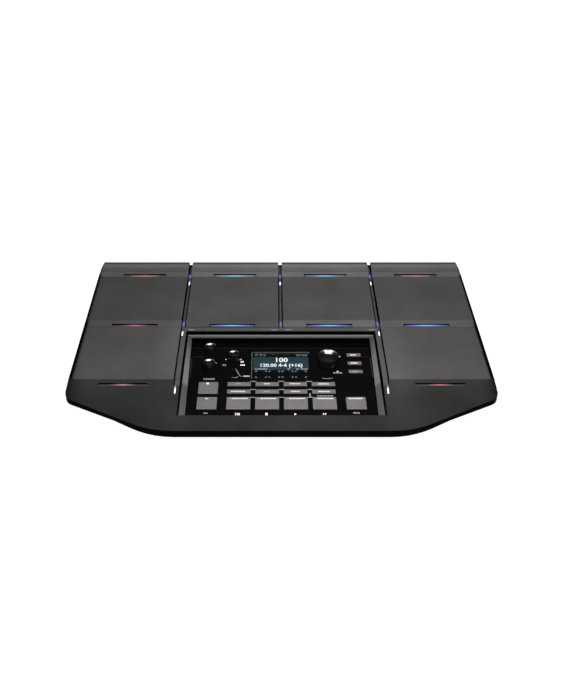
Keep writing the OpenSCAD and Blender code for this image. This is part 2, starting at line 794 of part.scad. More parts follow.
module panel_bezel() {
  reach = ring_v - ring_front_v;
  bowl = 1.6;
  bowl_x = ring_x - ring_land;
  ledge = 2.5;
  color("#55555a") difference() {
    on_deck() difference() {
      bar([-ring_x, ring_x], [
        [ring_front_v, bezel_low],
        [ring_v, bezel_low],
        [ring_v, -ring_sink],
        [ring_front_v, -ring_front_sink]
      ]);
      translate([0, ring_v, -ring_sink]) rotate([ring_tilt, 0, 0]) intersection() {
        translate([0, reach, 0]) rotate([90, 0, 0]) linear_extrude(3 * reach) polygon([
          [bowl * ring_w - bowl_x, -bowl * ring_drop],
          [bowl_x - bowl * ring_w, -bowl * ring_drop],
          [bowl_x, 0],
          [bowl_x, far],
          [-bowl_x, far],
          [-bowl_x, 0]
        ]);
        bar([-far, far], [
          [-2 * reach, -bowl * ring_drop],
          [-bowl * ring_rear_w - ring_land, -bowl * ring_drop],
          [-ring_land, 0],
          [-ring_land, far],
          [-2 * reach, far]
        ]);
      }
      translate([0, 0, panel_low - seat]) linear_extrude(far) polygon(well(0, ring_front_v - 1));
      translate([0, 0, -far]) linear_extrude(far) polygon(well(ledge, ring_front_v + 2 * ledge));
    }
    for (p = bezel_posts) {
      y = deck_y(p.y, bezel_low);
      translate([p.x, y, 0]) cylinder(h = deck_z(y, bezel_low) + 6, r = screw_r + run_clear);
    }
  }
}

module control_panel() {
  color("#0a0a0b") on_deck() difference() {
    union() {
      translate([0, 0, panel_low]) linear_extrude(panel_t) polygon(well(panel_fit, ring_front_v + panel_fit));
      for (p = key_standoffs) translate([p.x, p.y, key_board_h + seat]) {
        cylinder(h = panel_low - key_board_h, r = standoff_r);
      }
      for (p = board_standoffs) translate([p.x, p.y, control_board_h + seat]) {
        cylinder(h = panel_low - control_board_h, r = standoff_r);
      }
    }
    for (k = keys) centred(k[1], k[2], k[3] + 2 * key_clear, k[4] + 2 * key_clear, [-far, far]);
    for (t = turned) translate([t[0], t[1], -far / 2]) cylinder(h = far, r = bush_r + 0.3);
    centred(0, display_v, window_w + 2 * seat, window_d + 2 * seat, [-panel_sink - window_glass_t - seat, far]);
    centred(0, display_v, window_w - 3, window_d - 3, [-far, far]);
  }
}

standoff_r = 1.6;
key_standoffs = [[-70.5, 0], [-70.5, -38], [70.5, 0], [70.5, -38], [0, -14.55]];
board_standoffs = [[-104, 80], [-72, 80], [75, 80], [104, 80], [-72, 22], [76, 22]];

module display_window() {
  color([0.1, 0.3, 0.35, 0.5]) on_deck() centred(0, display_v, window_w, window_d,
    [-panel_sink - window_glass_t, -panel_sink]);
}

module display_module() {
  t = 3.5;
  color("#2c6f7a") on_deck() centred(0, display_v, window_w + 2, window_d + 3,
    [panel_low - seat - t, panel_low - seat]);
}

module key(k) {
  low = panel_low - 0.4;
  small = k[2] > board_split_v;
  stem_low = (small ? control_board_h : key_board_h) + switch_h + key_travel + 0.3;
  color("#7d7a76") on_deck() {
    centred(k[1], k[2], k[3], k[4], [low, key_rise - panel_sink]);
    centred(k[1], k[2], k[3] + 2 * key_flange, k[4] + 2 * key_flange, [low - flange_t, low]);
    translate([k[1], k[2], stem_low]) cylinder(h = low - flange_t - stem_low, r = 1.8);
  }
}

module key_switches() {
  side = 6;
  color("#202022") {
    on_deck() for (k = keys) {
      board = k[2] > board_split_v ? control_board_h : key_board_h;
      centred(k[1], k[2], side, side, [board + run_clear, board + switch_h]);
    }
    translate([power_x - power_switch.x / 2, rear_wall_y - power_switch_in - power_switch.y, 0])
      translate([0, 0, jack_board_z + board_t + run_clear])
      cube(power_switch);
  }
}

// Bores of the control bodies and of the knobs, as heights over the deck
bore_low = control_board_h + 2.5;
function bore_top(t) = t[3] - t[5] - panel_sink - 2;

module control_bodies() {
  body_top = panel_low - 1.3;
  color("#3a5a46") on_deck() for (t = turned) difference() {
    union() {
      centred(t[0], t[1], pot_w, pot_w, [control_board_h + run_clear, body_top]);
      translate([t[0], t[1], body_top - 1]) cylinder(h = bush_rise - panel_sink - body_top + 1, r = bush_r);
    }
    translate([t[0], t[1], bore_low]) cylinder(h = far, r = shaft_r + run_clear);
  }
}

module shaft(t, low_gap) {
  low = bore_low + low_gap;
  color("#b9bcc0") on_deck() translate([t[0], t[1], low]) cylinder(h = bore_top(t) - seat - low, r = shaft_r);
}

module knob(t, bore_clear) {
  steps = 6;
  rim_r = t[2] - 0.4;
  shoulder = bush_rise + t[4] + 0.6;
  room_r = bush_r + 0.6;
  color("#0c0c0d") on_deck() translate([t[0], t[1], -panel_sink]) difference() {
    rotate_extrude() polygon(concat(
      [[room_r, t[4]], [t[2], t[4]], [t[2], t[4] + 1], [rim_r, t[3] - t[5]]],
      [for (i = [1:steps]) let (q = 1 - i / steps) [rim_r * q, t[3] - t[5] * q * q]],
      [
        [0, bore_top(t) + panel_sink],
        [shaft_r + bore_clear, bore_top(t) + panel_sink],
        [shaft_r + bore_clear, shoulder],
        [room_r, shoulder]
      ]
    ));
    translate([-0.5, 0.55 * t[2], t[3] - t[5] - 0.4]) cube([1, t[2], 2 * t[5]]);
  }
}

module circuit_boards() {
  color("#1f4d34") {
    on_deck() {
      block([-105, 105], [-44, board_split_v - 1], [key_board_h - board_t, key_board_h]);
      block([4 - well_x, well_x - 4], [board_split_v + 2, well_v - 4],
        [control_board_h - board_t, control_board_h]);
      for (c = [0:3]) for (v = [bevel_v + slot_d / 2, riser_v + riser_slot_d / 2]) {
        centred(column_x(c), v, light_board_w, light_board_d, [plate_h + run_clear, light_board_top]);
      }
    }
    on_apron() for (c = [0, 3]) {
      centred(column_x(c), -apron_slot_v - slot_d / 2, light_board_w, light_board_d,
        [apron_board_top - strip_board_t, apron_board_top]);
    }
    translate([-main_board_w / 2, main_board_y[0], main_board_z])
      cube([main_board_w, main_board_y[1] - main_board_y[0], board_t]);
    translate([jack_board_in - rear_panel_w / 2, rear_wall_y - jack_board_d - 4, jack_board_z])
      cube([rear_panel_w - 2 * jack_board_in, jack_board_d, board_t]);
  }
}

// Rear panel group
module rear_panel() {
  color("#2a2b2d") difference() {
    translate([-rear_panel_w / 2, rear_wall_y - rear_panel_t, rear_panel_z - rear_panel_h / 2])
      cube([rear_panel_w, rear_panel_t, rear_panel_h]);
    translate([0, rear_wall_y, socket_z]) rotate([90, 0, 0]) translate([0, 0, -1]) {
      for (x = jack_xs) translate([x, 0, 0]) cylinder(h = 9, r = nose_r + seat);
      for (x = midi_xs) translate([x, 0, 0]) cylinder(h = 9, r = midi_r + seat);
      translate([power_x, 0, 0]) cylinder(h = 9, r = power_r + key_clear);
    }
    centred(usb_x, rear_wall_y, usb_w + 2 * seat, 9, [socket_z - usb_h / 2 - seat, socket_z + usb_h / 2 + seat]);
    centred(inlet_x, rear_wall_y, inlet_w + 2 * seat, 9, [socket_z - usb_h / 2 - seat, socket_z + usb_h / 2 + seat]);
  }
}

module socket_body(x, w, d, h) {
  back = rear_wall_y - rear_panel_t - seat;
  block([x - w / 2, x + w / 2], [back - d, back], [jack_board_z + board_t + run_clear, socket_z + h / 2]);
}

module to_rear(x, depth) translate([x, rear_wall_y - depth, socket_z]) rotate([-90, 0, 0]) children();

module phone_jacks() {
  color("#1a1a1b") for (x = jack_xs) difference() {
    union() {
      socket_body(x, jack_body_w, jack_body_d, jack_body_h);
      to_rear(x, socket_neck) cylinder(h = socket_neck + nose_out, r = nose_r);
    }
    to_rear(x, jack_bore_in) cylinder(h = far, r = jack_r);
  }
}

module midi_sockets() {
  color("#151516") for (x = midi_xs) difference() {
    union() {
      socket_body(x, midi_body.x, midi_body.y, midi_body.z);
      to_rear(x, socket_neck) cylinder(h = socket_neck + midi_out, r = midi_r);
    }
    to_rear(x, 6) difference() {
      cylinder(h = far, r = midi_ring[1]);
      translate([0, 0, -1]) cylinder(h = 6, r = midi_ring[0]);
    }
  }
}

module usb_socket() {
  color("#c3c5c8") difference() {
    union() {
      socket_body(usb_x, usb_w, usb_d, usb_h);
      centred(usb_x, rear_wall_y - 2, usb_w, 5, [socket_z - usb_h / 2, socket_z + usb_h / 2]);
    }
    difference() {
      centred(usb_x, rear_wall_y - 4, usb_hole.x, 10, [socket_z - usb_hole.y / 2, socket_z + usb_hole.y / 2]);
      centred(usb_x, rear_wall_y - 6, usb_tongue.x, 12, [socket_z - usb_tongue.y / 2, socket_z + usb_tongue.y / 2]);
    }
  }
}

module power_inlet() {
  color("#121213") {
    difference() {
      union() {
        socket_body(inlet_x, inlet_w, inlet_d, usb_h);
        centred(inlet_x, rear_wall_y - 2, inlet_w, 5, [socket_z - usb_h / 2, socket_z + usb_h / 2]);
      }
      to_rear(inlet_x, inlet_bore_in) cylinder(h = far, r = inlet_hole_r);
    }
    to_rear(inlet_x, inlet_bore_in + 0.5) cylinder(h = inlet_bore_in - 0.5, r = inlet_pin_r);
  }
}

module power_button() {
  color("#242426") {
    to_rear(power_x, button_in) cylinder(h = button_in + power_out, r = power_r);
    to_rear(power_x, button_in + 2) cylinder(h = 3, r = power_r - 2);
  }
}

bottom_case();
top_case();
divider_frame();
pad_deck();
pad_sensors();
pad_cushions();
slot_light_guides();
gap_light_windows();
panel_bezel();
control_panel();
display_window();
display_module();
circuit_boards();
key_switches();
control_bodies();
rear_panel();
phone_jacks();
midi_sockets();
usb_socket();
power_inlet();
power_button();
rubber_feet();
case_screws();
stand_inserts();
for (c = [0, 3]) lower_pad(c);
for (c = [0:3]) upper_pad(c);
for (c = [0:3]) slim_pad(c);
for (k = keys) key(k);
for (i = [0:3]) knob(turned[i], i < 3 ? press_clear : run_clear);
for (i = [0:3]) shaft(turned[i], i < 3 ? seat : dial_travel + seat);
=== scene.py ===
from math import cos, pi, radians, sin

import bmesh
import bpy
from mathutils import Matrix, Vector


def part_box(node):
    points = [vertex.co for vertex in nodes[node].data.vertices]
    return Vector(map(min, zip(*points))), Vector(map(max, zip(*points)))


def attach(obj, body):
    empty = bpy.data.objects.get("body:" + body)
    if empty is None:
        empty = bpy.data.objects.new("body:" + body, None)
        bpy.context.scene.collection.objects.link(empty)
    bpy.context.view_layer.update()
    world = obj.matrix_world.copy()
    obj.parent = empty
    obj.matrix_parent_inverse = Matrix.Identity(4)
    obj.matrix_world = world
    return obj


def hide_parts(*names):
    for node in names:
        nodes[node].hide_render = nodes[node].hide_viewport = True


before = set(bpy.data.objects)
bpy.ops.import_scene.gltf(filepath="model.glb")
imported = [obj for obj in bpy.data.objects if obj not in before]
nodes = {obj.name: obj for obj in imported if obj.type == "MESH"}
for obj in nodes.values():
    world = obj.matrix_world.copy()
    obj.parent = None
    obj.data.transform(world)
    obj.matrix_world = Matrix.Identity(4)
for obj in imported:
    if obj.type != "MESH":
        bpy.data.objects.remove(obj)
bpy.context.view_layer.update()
scene = bpy.context.scene

# Sizes in millimetres, as in the part's source
MM = 0.001
TILT = radians(8)
APRON_TILT = radians(15)
EDGE_Y = -84.528
EDGE_Z = 37.832
PITCH = 125.8
BEVEL_V = 102.6
BEVEL_D = 10.0
RISER_V = 214.0
STRIP_V = 100.6
SLOT_W = 59.4
PANEL_H = -15.0
KEY_H = PANEL_H + 1.0
KEY_PITCH = 34.0
SCREEN_H = -16.42
SOCKET_Z = 31.0

# Places read from the frame
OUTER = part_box("upper_pad_4")[1].x / MM
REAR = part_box("slim_pad_4")[1].y / MM
UPPER_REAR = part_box("upper_pad_4")[1].y / MM
WALL_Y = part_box("rear_panel")[1].y / MM


def deck(x, v, h, tilt=TILT):
    """A place in metres on the deck, or on another slope that starts at the deck's front edge."""
    y = EDGE_Y + v * cos(tilt) - h * sin(tilt)
    z = EDGE_Z + v * sin(tilt) + h * cos(tilt)
    return Vector((x, y, z)) * MM


def on_deck(place):
    """The x, v and h of a place in metres."""
    y = place.y / MM - EDGE_Y
    z = place.z / MM - EDGE_Z
    return place.x / MM, y * cos(TILT) + z * sin(TILT), z * cos(TILT) - y * sin(TILT)


def deck_y(v):
    """The y of a line across the deck."""
    return EDGE_Y + v * cos(TILT)


def column_x(column):
    """The middle of a pad column, from 1 to 4."""
    return (column - 2.5) * PITCH


# Materials


def fill_ramp(node, stops):
    """Sets a colour ramp's stops of a place from 0 to 1 and a colour."""
    elements = node.color_ramp.elements
    while len(elements) < len(stops):
        elements.new(0.5)
    for element, (place, colour) in zip(elements, stops):
        element.position = place
        element.color = (*colour, 1)


class Look:
    """A material's node tree, with short ways to add and join nodes."""

    def __init__(self, material):
        self.material = material
        material.use_nodes = True
        self.tree = material.node_tree
        self.shader = self.tree.nodes["Principled BSDF"]
        self.place = self.add("ShaderNodeTexCoord").outputs["Object"]

    def add(self, kind, values=()):
        """A new node, with values for some of its inputs."""
        node = self.tree.nodes.new(kind)
        for name, value in values:
            node.inputs[name].default_value = value
        return node

    def join(self, out, into):
        self.tree.links.new(out, into)

    def feed(self, out, name):
        """Joins a node's output to one of the shader's inputs."""
        self.join(out, self.shader.inputs[name])

    def give(self, name, value):
        """Sets one of the shader's inputs."""
        self.shader.inputs[name].default_value = value

    def noise(self, scale, detail=3.0):
        values = (("Scale", scale), ("Detail", detail), ("Roughness", 0.55))
        node = self.add("ShaderNodeTexNoise", values)
        self.join(self.place, node.inputs["Vector"])
        return node.outputs["Fac"]

    def math(self, kind, a, b):
        """One sum of two values, each a number or another node's output."""
        node = self.add("ShaderNodeMath")
        node.operation = kind
        for socket, value in zip(node.inputs, (a, b)):
            if isinstance(value, (int, float)):
                socket.default_value = value
            else:
                self.join(value, socket)
        return node.outputs["Value"]

    def axes(self):
        node = self.add("ShaderNodeSeparateXYZ")
        self.join(self.place, node.inputs["Vector"])
        return node.outputs

    def spot(self, x, y, half_x, half_y):
        """1 at a place in millimetres, falling to 0 on an ellipse round it."""
        axes = self.axes()
        total = 1.0
        for axis, middle, half in (("X", x, half_x), ("Y", y, half_y)):
            far = self.math("SUBTRACT", axes[axis], middle * MM)
            far = self.math("DIVIDE", far, half * MM)
            total = self.math("SUBTRACT", total, self.math("MULTIPLY", far, far))
        return total

    def ramp(self, fac, stops):
        node = self.add("ShaderNodeValToRGB")
        fill_ramp(node, stops)
        self.join(fac, node.inputs["Fac"])
        return node.outputs["Color"]

    def spread(self, fac, low, high, start=0.3, end=0.7):
        """Stretches the values from start to end over the range from low to high."""
        values = (("From Min", start), ("From Max", end), ("To Min", low), ("To Max", high))
        node = self.add("ShaderNodeMapRange", values)
        self.join(fac, node.inputs["Value"])
        return node.outputs["Result"]

    def shade(self, tone, axis, alike, stops):
        """Paints light and shade into a tone by its place on an axis, in stops of a place in millimetres and
        a factor.
        """
        where = self.axes()[axis]
        if alike:
            where = self.math("ABSOLUTE", where, 0)
        first, last = stops[0][0], stops[-1][0]
        where = self.spread(where, 0, 1, first * MM, last * MM)
        level = self.ramp(where, [((at - first) / (last - first), (k, k, k)) for at, k in stops])
        mix = self.add("ShaderNodeMixRGB", (("Fac", 1.0),))
        mix.blend_type = "MULTIPLY"
        self.join(tone, mix.inputs["Color1"])
        self.join(level, mix.inputs["Color2"])
        return mix.outputs["Color"]

    def bump(self, fac, depth):
        node = self.add("ShaderNodeBump", (("Strength", 1.0), ("Distance", depth * MM)))
        self.join(fac, node.inputs["Height"])
        self.feed(node.outputs["Normal"], "Normal")


def new_look(name):
    return Look(bpy.data.materials.new(name))


def moulded(name, colour, rough, mottle, spot, grain, depth, spec=0.5, metal=0.0, shades=()):
    """Plastic, rubber or metal with a slow change of colour and a fine grain.

    Each shade is painted light and shade by place: an axis, whether both sides of its 0 count alike, and
    stops of a place and a factor.
    """
    look = new_look(name)
    dark = [c * (1 - mottle) for c in colour]
    light = [c * (1 + mottle) for c in colour]
    tone = look.ramp(look.noise(spot), [(0.3, dark), (0.7, light)])
    for shade in shades:
        tone = look.shade(tone, *shade)
    look.feed(tone, "Base Color")
    fine = look.noise(grain, 2.0)
    look.feed(look.spread(fine, max(rough - 0.06, 0.02), rough + 0.06), "Roughness")
    look.bump(fine, depth)
    look.give("Specular IOR Level", spec)
    look.give("Metallic", metal)
    return look.material


def lit(name, colour, power, base):
    """A surface that gives light, a little uneven."""
    look = new_look(name)
    look.give("Base Color", (*base, 1))
    look.give("Roughness", 0.3)
    look.give("Specular IOR Level", 0.1)
    look.give("Emission Strength", power)
    stops = [(0.3, [c * 0.82 for c in colour]), (0.7, colour)]
    look.feed(look.ramp(look.noise(180, 2.0), stops), "Emission Color")
    return look.material


def lens(name, ends, colour, core, middle, half):
    """A light guide's face: a lens of light in a place in millimetres, painted shade behind it and grey in
    front.
    """
    look = new_look(name)
    stops = [(0.0, (0, 0, 0)), (0.2, ends), (0.72, colour), (1.0, core)]
    look.feed(look.ramp(look.spot(*middle, *half), stops), "Emission Color")
    look.give("Emission Strength", 1.0)
    depth = look.spread(look.axes()["Y"], 0, 1, (middle[1] - 1) * MM, (middle[1] + 1) * MM)
    look.feed(look.ramp(depth, [(0.5, (0.07, 0.07, 0.07)), (0.7, (0.002, 0.002, 0.003))]), "Base Color")
    look.feed(look.spread(look.noise(900, 2.0), 0.5, 0.6), "Roughness")
    look.give("Specular IOR Level", 0.2)
    return look.material


def tinted(material, colour, spots):
    """Adds coloured light to a moulded material, in spots of x, y, half x and half y."""
    look = Look(material)
    level = 0.0
    for spot in spots:
        level = look.math("MAXIMUM", level, look.spot(*spot))
    look.feed(look.ramp(level, [(0.0, (0, 0, 0)), (0.8, colour)]), "Emission Color")
    look.give("Emission Strength", 1.0)


def by_height(name, stops, low, high, rough):
    """Satin plastic with painted highlight and shade that change with the height, from low to high in
    millimetres.
    """
    look = new_look(name)
    height = look.math("ADD", look.axes()["Z"], look.math("MULTIPLY", look.noise(300, 2.0), 0.2 * MM))
    tones = [(at, (tone, tone, tone * 0.98)) for at, tone in stops]
    look.feed(look.ramp(look.spread(height, 0, 1, low * MM, high * MM), tones), "Base Color")
    fine = look.noise(2200, 2.0)
    look.feed(look.spread(fine, rough - 0.05, rough + 0.05), "Roughness")
    look.bump(fine, 0.01)
    return look.material


def glass(name, tint):
    look = new_look(name)
    stops = [(0.3, tint), (0.7, [min(c * 1.04, 1) for c in tint])]
    look.feed(look.ramp(look.noise(30), stops), "Base Color")
    look.give("Roughness", 0.02)
    look.give("IOR", 1.45)
    look.give("Transmission Weight", 1.0)
    return look.material


# Painted light and shade by place: an axis, whether both sides of its 0 count alike, and stops of a place
# and a factor
# Painted shade along the pads' outer edges
PAD_EDGE_SHADE = ("X", False, [
    (-OUTER, 0.1), (1.2 - OUTER, 0.12), (2.4 - OUTER, 0.92), (12 - OUTER, 1.0),
    (OUTER - 12, 1.0), (OUTER - 1.3, 0.92), (OUTER - 0.4, 0.3), (OUTER, 0.2),
])
# Painted shade on the upper pads, darker to the left
UPPER_LEFT_SHADE = ("X", False, [(-2 * PITCH, 0.82), (-PITCH - 20, 0.88), (-PITCH, 1.0), (2 * PITCH, 0.97)])
# Painted light on the lower pads beside the panel
LOWER_INNER_SHADE = ("X", True, [
    (PITCH, 1.26), (PITCH + 10, 1.24), (PITCH + 20, 1.15), (PITCH + 36, 1.02), (PITCH + 60, 1.0),
])
# Painted light on the slim pads, by column
SLIM_COLUMN_SHADE = ("X", False, [
    (-PITCH - 1, 0.95), (1 - PITCH, 1.2), (0, 1.24), (PITCH - 1, 1.2), (PITCH + 1, 1.08), (OUTER, 1.02),
])
# Painted sheen on the slim pads towards the rear, and painted shade along their rear edge
SLIM_REAR_SHADE = ("Y", False, [
    (REAR - 27.4, 0.88), (REAR - 26.7, 0.84), (REAR - 20, 1.04), (REAR - 15, 1.34), (REAR - 12, 1.5),
    (REAR - 10, 1.4), (REAR - 8, 0.95), (REAR - 6, 0.25), (REAR, 0.2),
])
# Painted light and shade on the apron, darker to the front
APRON_DEPTH_SHADE = ("Y", False, [
    (EDGE_Y - 78, 0.72), (EDGE_Y - 62, 0.84), (EDGE_Y - 30, 1.0), (EDGE_Y - 10, 1.26), (EDGE_Y, 1.28),
])
# Painted shade at the apron's ends
APRON_END_SHADE = ("X", True, [
    (PITCH + 55, 1.0), (OUTER - 40, 0.98), (OUTER - 14, 0.93), (OUTER - 4, 0.6), (OUTER + 3, 0.1),
])
# Painted light on the apron beside the panel, painted shade further out
APRON_SIDE_SHADE = ("X", False, [
    (-PITCH - 55, 0.9), (-PITCH - 30, 1.02), (-PITCH - 10, 1.1), (12 - PITCH, 1.0),
    (PITCH - 12, 1.0), (PITCH + 10, 1.26), (PITCH + 22, 1.2), (PITCH + 38, 1.0), (PITCH + 55, 0.9),
])
# Painted highlight on the bezel's middle, painted shade at its front and rear
BEZEL_SHADE = ("Y", False, [
    (EDGE_Y - 60, 0.66), (EDGE_Y - 2, 0.6), (EDGE_Y + 2, 1.5), (EDGE_Y + 28, 1.5),
    (EDGE_Y + 55, 1.2), (EDGE_Y + 75, 0.78), (EDGE_Y + 90, 0.6),
])
# Painted shade low on the bezel's rear slope and at its top edge, with a painted highlight just below the
# top
BEZEL_REAR_PAINTED_LIGHT = [(0.18, 0.001), (0.34, 0.06), (0.7, 0.08), (0.84, 0.19), (0.92, 0.15), (1.0, 0.02)]
BEZEL_REAR_Z = (42.3, 46.9)
PAD_COLOUR = (0.07, 0.068, 0.0662)
SLIM_COLOUR = (0.105, 0.102, 0.0995)
# Painted light on the upper pads' bevels, for each column
BEVEL_PAINTED_LIGHT = (1.26, 1.0, 1.58, 1.3)


def rubber(name, colour, spec, shades):
    """A pad's rubber, with painted shade along the part's outer edges."""
    return moulded(name, colour, 0.6, 0.12, 20, 2600, 0.02, spec, 0.0, [PAD_EDGE_SHADE, *shades])


def upper_rubber(name, bevel):
    """An upper pad's rubber, with its own painted light on the bevel, a painted shade line at the bevel's
    top and painted light towards the rear.
    """
    bevel_y = deck_y(BEVEL_V + BEVEL_D)
    stops = [
        (bevel_y - 12, bevel), (bevel_y - 0.4, bevel), (bevel_y + 0.4, 0.93), (bevel_y + 40, 1.02),
        (UPPER_REAR - 30, 1.0), (UPPER_REAR - 16, 1.14), (UPPER_REAR - 5, 1.32), (UPPER_REAR, 1.34),
    ]
    return rubber(name, PAD_COLOUR, 0.3, [UPPER_LEFT_SHADE, ("Y", False, stops)])


APRON_SHADES = [APRON_DEPTH_SHADE, APRON_END_SHADE, APRON_SIDE_SHADE]

# Moulded materials: colour, roughness, mottle, scales of spots and grain, grain depth, specular level, metal
MATERIAL = {
    "rubber_low": rubber("low_rubber", PAD_COLOUR, 0.3, [LOWER_INNER_SHADE]),
    "rubber_slim": rubber("slim_rubber", SLIM_COLOUR, 0.4, [SLIM_REAR_SHADE, SLIM_COLUMN_SHADE]),
    # Near-black painted shade on the faces in the gaps and in the slots
    "gap": moulded("pad_side", (0.0016, 0.0016, 0.0017), 0.7, 0.2, 40, 1700, 0.02, 0.02),
    "slot": moulded("slot_side", (0.0012, 0.0012, 0.0013), 0.7, 0.2, 40, 1700, 0.02, 0.05),
    "frame": moulded("frame_grey", (0.075, 0.0735, 0.072), 0.5, 0.08, 30, 1800, 0.02),
    "apron": moulded(
        "case_apron", (0.0245, 0.0238, 0.0234), 0.5, 0.24, 20, 1700, 0.02, 0.3, 0.0, APRON_SHADES
    ),
    # Painted shade on the case's front walls: a near-black copy of the case plastic that the sides and the
    # tub show
    "wall": moulded("case_wall", (0.001, 0.001, 0.0011), 0.7, 0.2, 40, 1700, 0.02, 0.01),
    "side": moulded("case_side", (0.012, 0.012, 0.0125), 0.6, 0.15, 40, 1500, 0.03, 0.3),
    "tub": moulded("case_tub", (0.012, 0.012, 0.0125), 0.62, 0.15, 40, 1400, 0.03, 0.3),
    # The bezel is one dark plastic: painted reflection and painted light by place on its slopes, painted
    # highlight and shade by height on its rear slope, and painted shade on its other faces
    "bezel": moulded("bezel_satin_painted_reflection", (0.09, 0.09, 0.089), 0.4, 0.1, 35, 2200, 0.01, 0.4, 0.0, [BEZEL_SHADE]),
    "bezel_rear": by_height("bezel_rear", BEZEL_REAR_PAINTED_LIGHT, *BEZEL_REAR_Z, 0.45),
    "bezel_dark": moulded("bezel_black", (0.0012, 0.0012, 0.0012), 0.6, 0.1, 35, 2200, 0.01, 0.0),
    "panel": moulded("panel_gloss", (0.0025, 0.0026, 0.003), 0.09, 0.2, 30, 900, 0.002, 0.4),
    "key": moulded("key_grey", (0.156, 0.147, 0.143), 0.42, 0.06, 120, 2600, 0.012),
    # Painted shade on the keys' sides
    "key_side": moulded("key_skirt", (0.012, 0.0118, 0.0115), 0.5, 0.15, 120, 2600, 0.01, 0.2),
    "knob": moulded("knob_gloss", (0.0035, 0.0035, 0.0038), 0.12, 0.2, 90, 2400, 0.003, 0.6),
    "steel": moulded("deck_steel", (0.5, 0.51, 0.52), 0.38, 0.08, 60, 900, 0.01, 0.5, 1.0),
    "film": moulded("sensor_film", (0.62, 0.45, 0.17), 0.35, 0.1, 80, 900, 0.01, 0.5, 0.9),
    "foam": moulded("cushion_foam", (0.035, 0.035, 0.036), 0.9, 0.25, 300, 1400, 0.12, 0.2),
    "module": moulded("display_frame", (0.012, 0.014, 0.016), 0.4, 0.15, 60, 1200, 0.01),
    "board": moulded("board_green", (0.012, 0.06, 0.03), 0.4, 0.2, 120, 1500, 0.02),
    "socket": moulded("socket_black", (0.012, 0.012, 0.013), 0.45, 0.15, 90, 1500, 0.02),
    "cast": moulded("control_cast", (0.45, 0.45, 0.47), 0.42, 0.1, 150, 1500, 0.02, 0.5, 1.0),
    "plate": moulded("rear_plate", (0.02, 0.02, 0.021), 0.55, 0.2, 60, 1100, 0.05, 0.4),
    "shell": moulded("socket_shell", (0.62, 0.63, 0.65), 0.28, 0.08, 120, 1500, 0.01, 0.5, 1.0),
    "button": moulded("button_black", (0.025, 0.025, 0.027), 0.4, 0.12, 90, 2000, 0.02),
    "foot": moulded("foot_rubber", (0.012, 0.012, 0.012), 0.85, 0.2, 110, 1200, 0.06, 0.3),
    "screw": moulded("screw_steel", (0.3, 0.3, 0.31), 0.35, 0.12, 300, 2500, 0.01, 0.5, 1.0),
    "brass": moulded("insert_brass", (0.62, 0.44, 0.18), 0.32, 0.1, 220, 2200, 0.01, 0.5, 1.0),
    "shaft": moulded("shaft_metal", (0.6, 0.61, 0.63), 0.3, 0.08, 220, 2200, 0.01, 0.5, 1.0),
    "print": moulded("print_white", (0.85, 0.85, 0.84), 0.5, 0.04, 200, 2500, 0.005),
    "print_dim": moulded("print_grey", (0.26, 0.26, 0.255), 0.5, 0.05, 200, 2500, 0.005),
    "print_line": moulded("print_line", (0.14, 0.14, 0.138), 0.5, 0.05, 200, 2500, 0.005),
    "print_mid": moulded("print_mid", (0.42, 0.41, 0.4), 0.5, 0.05, 200, 2500, 0.005),
    "seam": moulded("panel_seam", (0.035, 0.036, 0.036), 0.4, 0.1, 90, 2500, 0.005),
    "glass": glass("display_glass", (0.93, 0.96, 0.97)),
    "screen_bar": lit("screen_bar", (0.001, 0.002, 0.004), 1.0, (0.001, 0.001, 0.001)),
    "screen_main": lit("screen_main", (0.031, 0.053, 0.069), 1.0, (0.002, 0.002, 0.002)),
    "screen_low": lit("screen_low", (0.0012, 0.0018, 0.002), 1.0, (0.001, 0.001, 0.001)),
    "screen_white": lit("screen_white", (0.85, 0.95, 0.96), 1.1, (0.3, 0.3, 0.3)),
    "screen_soft": lit("screen_soft", (0.16, 0.24, 0.25), 1.0, (0.2, 0.2, 0.2)),
    "key_red": lit("key_red", (0.22, 0.07, 0.085), 0.9, (0.13, 0.07, 0.075)),
    "white_light": lit("window_white", (1.0, 0.98, 1.0), 1.1, (0.8, 0.8, 0.8)),
    "violet_light": moulded("window_violet", (0.02, 0.02, 0.024), 0.4, 0.1, 90, 1500, 0.01, 0.2),
}
for column, tone in enumerate(BEVEL_PAINTED_LIGHT, 1):
    MATERIAL[f"rubber_{column}"] = upper_rubber(f"pad_rubber_{column}", tone)

# Ways to dress the frame's solids


def finish_edges(obj, width, segments, angle):
    """Rounds the edges that are sharper than an angle, with a width in millimetres."""
    bevel = obj.modifiers.new("edges", "BEVEL")
    bevel.width = width * MM
    bevel.segments = segments
    bevel.limit_method = "ANGLE"
    bevel.angle_limit = radians(angle)
    bevel.use_clamp_overlap = True
    bevel.harden_normals = False
    smooth = obj.modifiers.new("weighted", "WEIGHTED_NORMAL")
    smooth.keep_sharp = True


def paint(obj, materials, choose):
    """Gives each face the material that choose names by the face's middle and normal."""
    obj.data.materials.clear()
    for name in materials:
        obj.data.materials.append(MATERIAL[name])
    for face in obj.data.polygons:
        face.material_index = choose(face.center, face.normal)


def dress(name, material):
    paint(nodes[name], [material], lambda centre, normal: 0)


def top_choice(centre, normal):
    return 1 if normal.z > 0.5 else 0


def remade(node, name, width, segments=3, angle=28):
    """A copy of a solid with merged faces and rounded edges, which stands for that solid."""
    mesh = bpy.data.meshes.new(name)
    bm = bmesh.new()
    bm.from_mesh(nodes[node].data)
    bmesh.ops.remove_doubles(bm, verts=bm.verts, dist=1e-6)
    bmesh.ops.dissolve_limit(bm, angle_limit=radians(0.6), verts=bm.verts, edges=bm.edges)
    for face in bm.faces:
        face.smooth = True
    bm.to_mesh(mesh)
    bm.free()
    obj = bpy.data.objects.new(name, mesh)
    scene.collection.objects.link(obj)
    finish_edges(obj, width, segments, angle)
    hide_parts(node)
    return obj


